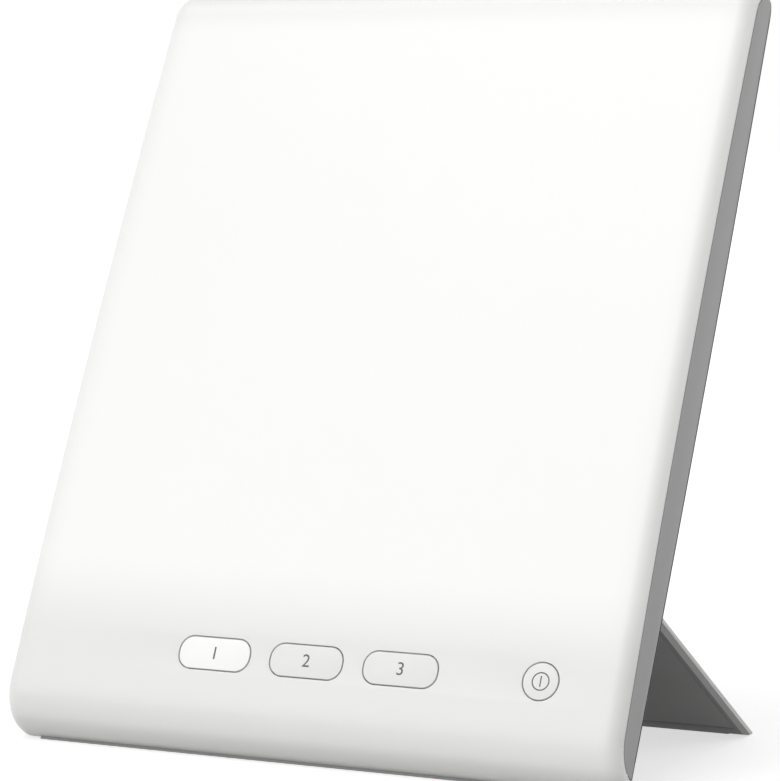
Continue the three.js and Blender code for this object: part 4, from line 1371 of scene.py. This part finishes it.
@dataclass
class SupportPlate:
    """The folding plate: a light skin, its colour partly a painted highlight, on a grey tray with
    painted shade on its lower faces, and a solid foot and hinge notches.
    """

    half_width: float = 135
    past: float = 5
    far: float = 9
    axis_height: float = 2.5
    high: float = 3.8
    low: float = 2.1
    joint: float = 1.1
    joint_ease: float = 0.25
    heel_radius: float = 2.5
    tray_top: float = 0.7
    tray_ease: float = 0.3
    lip: float = 2.3
    edge: float = 1.2
    over: float = 0.7
    tip_blunt: float = 0.3
    nose_start: float = 3.4
    nose_rise: float = 1.84
    nose_curve: float = 1.5
    nose_steps: int = 8
    strip_half: float = 126
    strip_back: tuple[float, float, float] = (2.9, 4.8, 6.3)
    strip_up: tuple[float, float, float] = (0.05, 0.4, 1.2)
    strip_ease: float = 0.15
    solid: float = 17
    lift: float = 0.3
    heel: float = 15
    knuckle_half: float = 9
    notch: float = 1.4
    notch_depth: float = 12
    bore: float = 1.6
    bore_sides: int = 32
    grip: float = 6.5
    gap: float = 0.12
    fine_gap: float = 0.05
    panel_ease: float = 0.1
    facing: float = 0.8
    fine: float = 0.01

    @property
    def length(self) -> float:
        """From the hinge axis to where the plate's upper side meets the table."""
        height = PLATE_PLACE.translation.z / MM
        return (height + self.axis_height * math.cos(SLOPE)) / math.sin(SLOPE)

    def foot(self, back: float, up: float) -> Vector:
        """A point on or above the table, back from the tip, in y and z."""
        y = self.length - back * math.cos(SLOPE) - up * math.sin(SLOPE)
        return Vector((y, self.axis_height - back * math.sin(SLOPE) + up * math.cos(SLOPE)))

    def above_table(self, y: float) -> float:
        """The height in z of the foot's underside at a place along the plate."""
        lift = self.lift / math.cos(SLOPE)
        return self.axis_height - (self.length - y) * math.tan(SLOPE) + lift

    def outline(self, inset: float) -> Ring:
        """The plate's side section.

        Args:
            inset: how far its upper face is lowered.

        Returns:
            Points in y and z.
        """
        axis = Vector((0, 0))
        steps = SECTION.round_steps
        top = self.high - inset
        meets = self.length + (top - self.above_table(self.length)) / math.tan(SLOPE)
        end = min(self.length + self.over, meets - self.tip_blunt)
        blunt = (top - self.above_table(end)) / 2
        return [
            *arc(axis, self.heel_radius, self.low, -QUARTER, -math.pi, steps),
            *arc(axis, self.heel_radius, top, math.pi, QUARTER, steps)[1:],
            Vector((end - blunt, top)),
            Vector((end, top - blunt)),
            Vector((end, top - 2 * blunt)),
            *self.nose(),
        ]

    def nose(self) -> Ring:
        """The foot's underside, which rises in a soft curve from the tip to the plate's.

        Returns:
            Points in y and z.
        """
        end = (self.axis_height + self.low + self.nose_rise * math.cos(SLOPE)) / math.sin(SLOPE)
        shares = [step / self.nose_steps for step in range(self.nose_steps + 1)]
        backs = [mix(self.nose_start, end, share) for share in shares]
        ups = [mix(self.lift, self.nose_rise, share**self.nose_curve) for share in shares]
        return [self.foot(back, up) for back, up in zip(backs, ups, strict=True)]

    def block(self, xs: Span, ys: Span, zs: Span) -> Piece:
        """A block in the plate's frame."""
        return slab(*[Vector(corner) for corner in zip(xs, ys, zs, strict=True)])

    def layer(self, zs: Span) -> Piece:
        """A block that is larger than the plate all round, between two heights."""
        wide = self.half_width + self.past
        return self.block((-wide, wide), (-self.far, self.length + self.far), zs)

    def strip_groove(self) -> Piece:
        """The tool for the groove that holds the foot's rubber strip.

        Returns:
            The tool.
        """
        near, _, far = self.strip_back
        near, far, low = near - self.gap, far + self.gap, -self.past
        top = self.strip_up[2] + self.gap
        corners = ((near, low), (near, top), (far, top), (far, low))
        return self.foot_bar(corners, self.strip_half + self.gap)

    def foot_bar(self, corners: Sequence[Span], half: float) -> Piece:
        """A bar across the foot, its corners given back from the tip and up from the table."""
        points = [self.foot(*corner) for corner in corners]
        return loft("bar", [[Vector((x, p.x, p.y)) for p in points] for x in (-half, half)])

    def strip(self) -> None:
        """Builds and dresses the rubber strip in the foot's groove."""
        near, middle, far = self.strip_back
        low, bend, top = self.strip_up
        corners = ((near, low), (near, top), (far, top), (far, bend), (middle, low))
        strip = self.foot_bar(corners, self.strip_half)
        ease(strip, lambda a, b: True, self.strip_ease)
        name_smooth(strip, "plate_strip")
        settle(strip, PLATE_PLACE, "stand", "rubber", "stand_strip")
        dress(strip, RUBBER.material())

    def whole(self) -> Piece:
        """The plate in one piece, with its tray, notches, bores and groove.

        Returns:
            The plate.
        """
        sides = rounded_sides(self.half_width, self.edge, 0, self.edge)
        rings = [[Vector((x, p.x, p.y)) for p in self.outline(depth)] for x, depth in sides]
        plate = loft("plate", rings)
        half = self.half_width - self.lip
        tray = (-half, half), (self.heel, self.length - self.solid), (-self.past, self.tray_top)
        work(plate, Way.CUT, self.block(*tray))
        reach = self.knuckle_half + self.notch
        notches, bores = [], []
        for side in (-1, 1):
            middle = side * KNUCKLE
            span = middle - reach, middle + reach
            deep, high = (-self.past, self.notch_depth), (-self.past, self.past)
            notches.append(self.block(span, deep, high))
            ends = [Vector((middle + end * (reach + self.grip), 0, 0)) for end in (-1, 1)]
            bores.append(rod(*ends, self.bore, self.bore_sides))
        work(plate, Way.CUT, *notches)
        work(plate, Way.CUT, *bores)
        work(plate, Way.CUT, self.strip_groove())
        return plate

    def at_side(self, a: Vector, b: Vector, below: float, inset: float = 0) -> bool:
        """Whether an edge runs along a side, or inside it by an inset, below a height."""
        outer = min(abs(a.x), abs(b.x)) > self.half_width - inset - NEAR
        return outer and max(a.z, b.z) < below

    def painted_shade_underneath(self, centre: Vector, normal: Vector) -> bool:
        """Whether a face looks down or lies inside the tray."""
        inside = abs(centre.x) < self.half_width - self.lip + NEAR
        return normal.z < -self.facing or (inside and centre.z < self.tray_top + NEAR)

    def skin(self) -> None:
        """Builds and dresses the upper skin: light grey, partly as a painted highlight along its
        edge.
        """
        skin = self.whole()
        work(skin, Way.KEEP, self.layer((self.joint, self.far)))
        ease(skin, lambda a, b: self.at_side(a, b, self.joint + self.fine), self.joint_ease)
        name_smooth(skin, "plate_skin")
        settle(skin, PLATE_PLACE, "stand", "lip", "stand_frame")
        dress(skin, PLATE_SKIN_HIGHLIGHT.material())

    def tray(self) -> None:
        """Builds and dresses the tray: grey, with painted shade on the faces that look down and
        those inside it.
        """
        tray = self.whole()
        work(tray, Way.KEEP, self.layer((-self.far, self.joint)))
        ease(tray, lambda a, b: self.at_side(a, b, self.fine - self.low), self.tray_ease)
        name_smooth(tray, "plate_tray")
        dress(tray, PLATE_LIP.material())
        # Painted shade on the faces that look down and those inside the tray.
        paint(tray, PLATE_RIM_SHADE.material(), self.painted_shade_underneath)
        settle(tray, PLATE_PLACE, "stand", "lip", "stand_frame")

    def panel(self) -> None:
        """Builds and dresses the dark panel that closes the tray."""
        inset = self.lip + self.gap
        half = self.half_width - inset
        ends = self.heel + self.gap, self.length - self.solid - self.fine_gap
        rise = self.fine_gap - self.low, self.tray_top - self.gap
        panel = self.block((-half, half), ends, rise)
        ease(panel, lambda a, b: self.at_side(a, b, 0, inset), self.panel_ease)
        name_smooth(panel, "plate_panel")
        settle(panel, PLATE_PLACE, "stand", "dark", "stand_panel")
        dress(panel, PLATE_PANEL.material())

    def build(self) -> None:
        """Builds and dresses the plate."""
        self.skin()
        self.tray()
        self.panel()
        self.strip()


@dataclass(frozen=True)
class Screw:
    """One kind of pan-head screw along t, its head at the back, with its places."""

    name: str
    places: Sequence[Vector]
    seat: float
    tip: float
    head: float
    height: float
    shank: float
    recess: float = 0.55
    past: float = 1
    turns: tuple[float, ...] = (0, 0.33, 0.67, 1)
    rounding: float = 0.28
    crown: float = 0.45
    arm: float = 0.62
    arm_width: float = 0.13
    sides: int = 40

    def circle(self, radius: float, t: float) -> Ring:
        """A ring of points round the axis of the first screw.

        Args:
            radius: its radius.
            t: its place along t.

        Returns:
            The ring.
        """
        spot = self.places[0]
        turns = [2 * math.pi * side / self.sides for side in range(self.sides)]
        return [
            Vector((spot.x + radius * math.cos(a), -t, spot.y + radius * math.sin(a)))
            for a in turns
        ]

    def model(self) -> Piece:
        """Models the screw at its first place.

        Returns:
            The screw.
        """
        rings = [self.circle(self.head, self.seat)]
        for turn in self.turns:
            angle = turn * QUARTER
            radius = self.head * (1 - self.rounding + self.rounding * math.cos(angle))
            rise = self.height * (1 - self.crown + self.crown * math.sin(angle))
            rings.append(self.circle(radius, self.seat - rise))
        screw = loft("screw", rings)
        spot = self.places[0]
        back = self.seat - self.height
        middle = self.seat - self.height / 2
        work(screw, Way.FUSE, along_t(spot, self.shank, middle, self.tip))
        arm, width = self.head * self.arm, self.head * self.arm_width
        for x, u in ((arm, width), (width, arm)):
            xs, us = (spot.x - x, spot.x + x), (spot.y - u, spot.y + u)
            work(screw, Way.CUT, box_t(xs, (back - self.past, back + self.recess), us))
        name_smooth(screw)
        return screw

    def build(self) -> None:
        """Models one screw and copies it to its places."""
        first = self.model()
        for number, place in enumerate(self.places, 1):
            copy = first.copy()
            copy.data = first.data.copy()
            copy.name = f"{self.name}_{number}_cross_head"
            bpy.context.collection.objects.link(copy)
            shift = place - self.places[0]
            matrix = LAMP_PLACE @ Matrix.Translation((shift.x, 0, shift.y))
            settle(copy, matrix, "lamp", "steel", f"{self.name}_{number}")
            dress(copy, TURNED_STEEL.material())
        bpy.data.objects.remove(first, do_unlink=True)


@dataclass
class Screws:
    """Cross-head screws in the housing's wells and in the hinge brackets."""

    kinds: tuple[Screw, ...] = (
        Screw("housing_screw", POSTS, seat=7, tip=13.5, head=2.6, height=1.6, shank=1.3),
        Screw("hinge_screw", BRACKETS, seat=3.5, tip=6.3, head=2.1, height=1.1, shank=1.1),
    )

    def build(self) -> None:
        """Builds and dresses both kinds."""
        for kind in self.kinds:
            kind.build()


@dataclass
class Inlet:
    """The low-voltage inlet: a block with a round mouth and a contact pin."""

    half: float = 7
    back: float = 4.2
    front: float = 13
    body_ease: float = 0.5
    bore: float = 3.2
    depth: float = 7
    pin: float = 1
    pin_inset: float = 0.3
    rim_ease: float = 0.4
    fine: float = 0.01

    def build(self) -> None:
        """Builds and dresses the inlet."""
        x, u = INLET_PLACE
        signs = ((-1, -1), (1, -1), (1, 1), (-1, 1))
        ring = [Vector((x + a * self.half, -self.back, u + b * self.half)) for a, b in signs]
        travel = Vector((0, self.back - self.front, 0))
        socket = loft("inlet", [ring, [point + travel for point in ring]])
        ease(socket, lambda a, b: True, self.body_ease)
        work(socket, Way.CUT, along_t(INLET_PLACE, self.bore, 0, self.back + self.depth))

        def at_mouth(a: Vector, b: Vector) -> bool:
            """Whether an edge runs round the bore's mouth."""
            centre = Vector((x, -self.back, u))
            return all(abs((p - centre).length - self.bore) < NEAR for p in (a, b))

        ease(socket, at_mouth, self.rim_ease)
        back, front = self.back + self.pin_inset, self.front - self.pin_inset
        pin = along_t(INLET_PLACE, self.pin, back, front)
        ease(pin, lambda a, b: min(a.y, b.y) > -back - self.fine, self.rim_ease)
        work(socket, Way.FUSE, pin)
        name_smooth(socket, "inlet")
        settle(socket, LAMP_PLACE, "lamp", "black", "inlet_socket")
        dress(socket, BLACK_PARTS.material())


@dataclass
class InnerPieces:
    """The carried-over CAD nodes of the light panel, the boards and the hinges."""

    finishes: dict[str, Finish] = field(
        default_factory=lambda: {
            "heat_spreader": ALUMINIUM,
            "reflector_sheet": WHITE_SHEET,
            "light_guide_plate": GUIDE,
            "panel_frame": WHITE_FRAME,
            "diffuser_sheet": WHITE_SHEET,
            "key_baffles": WHITE_FRAME,
            "board_ribbon": WHITE_SHEET,
            "control_board": BOARD,
            "driver_board": BOARD,
            "driver_inductor": COPPER,
            "driver_capacitor": BLACK_PARTS,
            "led_strip": CHIPS,
            "led_wires": WIRE_SLEEVE,
            "switch": BLACK_PARTS,
            "hinge_bracket": ZINC_SHEET,
            "hinge_pin": TURNED_STEEL,
            "friction_washer": ZINC_SHEET,
            "driver_screw": TURNED_STEEL,
            "control_screw": TURNED_STEEL,
        }
    )

    def build(self) -> None:
        """Dresses each node with the finish of its kind."""
        for name, node in frame["nodes"].items():
            for kind, finish in self.finishes.items():
                if name.startswith(kind):
                    dress(node, finish.material())
                    LOG.info("dressed %s as %s", name, finish.name)


# Studio


@dataclass(frozen=True)
class SoftLight:
    """A soft distant light: where it comes from, its level on white and its angle."""

    name: str
    side: tuple[float, float, float]
    level: float
    degrees: float

    def build(self) -> None:
        """Sets up the light."""
        sun = bpy.data.lights.new(self.name, "SUN")
        sun.energy = self.level * math.pi
        sun.angle = math.radians(self.degrees)
        holder = bpy.data.objects.new(self.name, sun)
        bpy.context.scene.collection.objects.link(holder)
        holder.rotation_euler = Vector(self.side).to_track_quat("Z", "Y").to_euler()


@dataclass
class Studio:
    """Pale floor, soft lights and the camera at the photograph's angle."""

    floor_colour: str = "#bcbcbc"
    floor_roughness: float = 0.9
    floor_size: float = 60
    floor_lift: float = 0.65
    white: str = "#ffffff"
    sky: float = 0.24
    eye: tuple[float, float, float] = (0.623009, -1.227499, 0.257078)
    turn: tuple[float, float, float] = (1.521118, 0.000404, 0.4815)
    lens: float = 151.051
    shift: Span = (0.05206, -0.12672)
    sight: float = 100
    lights: tuple[SoftLight, ...] = (
        SoftLight("top_light", (-0.25, -0.2, 1), 0.4, 50),
        SoftLight("front_light", (-0.3, -0.85, 0.4), 0.38, 60),
        SoftLight("side_light", (0.9, 0.55, 0.5), 0.24, 50),
    )

    def seen(self, tree: Tree) -> Socket:
        """A share of 1 for camera, glossy and transmission rays.

        Args:
            tree: the node tree.

        Returns:
            The share.
        """
        path = add(tree, "LightPath")
        rays = [path.outputs[f"Is {kind} Ray"] for kind in ("Camera", "Glossy", "Transmission")]
        total = rays[0]
        for ray in rays[1:]:
            total = add(tree, "Math", {0: total, 1: ray}, operation="MAXIMUM").outputs[0]
        return total

    def floor(self) -> None:
        """A wide pale floor, which shows the lamp's shadow."""
        bpy.ops.object.select_all(action="DESELECT")
        bpy.ops.mesh.primitive_plane_add(size=self.floor_size)
        floor = bpy.context.object
        floor.name = "floor"
        made = bpy.data.materials.new("matt_white_floor")
        made.use_nodes = True
        tree = made.node_tree
        shader = tree.nodes["Principled BSDF"]
        shader.inputs["Base Color"].default_value = linear(self.floor_colour)
        shader.inputs["Roughness"].default_value = self.floor_roughness
        shader.inputs["Emission Color"].default_value = linear(self.white)
        lift = add(tree, "Math", {0: self.seen(tree), 1: self.floor_lift}, operation="MULTIPLY")
        tree.links.new(lift.outputs[0], shader.inputs["Emission Strength"])
        dress(floor, made)

    def world(self) -> None:
        """An even sky that is white where it is seen."""
        world = bpy.data.worlds.new("studio")
        bpy.context.scene.world = world
        world.use_nodes = True
        tree = world.node_tree
        tree.nodes.clear()
        span = {"Value": self.seen(tree), "To Min": self.sky, "To Max": 1.0}
        strength = add(tree, "MapRange", span).outputs[0]
        sky = add(tree, "Background", {"Color": linear(self.white), "Strength": strength})
        add(tree, "OutputWorld", {"Surface": sky.outputs[0]})

    def camera(self) -> None:
        """The camera."""
        data = bpy.data.cameras.new("camera")
        data.lens = self.lens
        data.shift_x, data.shift_y = self.shift
        data.clip_end = self.sight
        camera = bpy.data.objects.new("camera", data)
        camera.location = self.eye
        camera.rotation_euler = Euler(self.turn)
        bpy.context.scene.collection.objects.link(camera)
        bpy.context.scene.camera = camera

    def build(self) -> None:
        """Sets up the studio."""
        bpy.context.scene.view_settings.view_transform = "Standard"
        self.floor()
        self.world()
        self.camera()
        for light in self.lights:
            light.build()


def main() -> None:
    """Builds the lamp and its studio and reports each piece."""
    logging.basicConfig(level=logging.INFO, format="%(message)s")
    parts = (Studio(), FrontShell(), Keys(), RearHousing(), SupportPlate())
    for part in (*parts, Screws(), Inlet(), InnerPieces()):
        known = set(bpy.data.objects.keys())
        part.build()
        for name in sorted(set(bpy.data.objects.keys()) - known):
            LOG.info("built %s of %s", name, type(part).__name__)


if __name__ == "__main__":
    main()
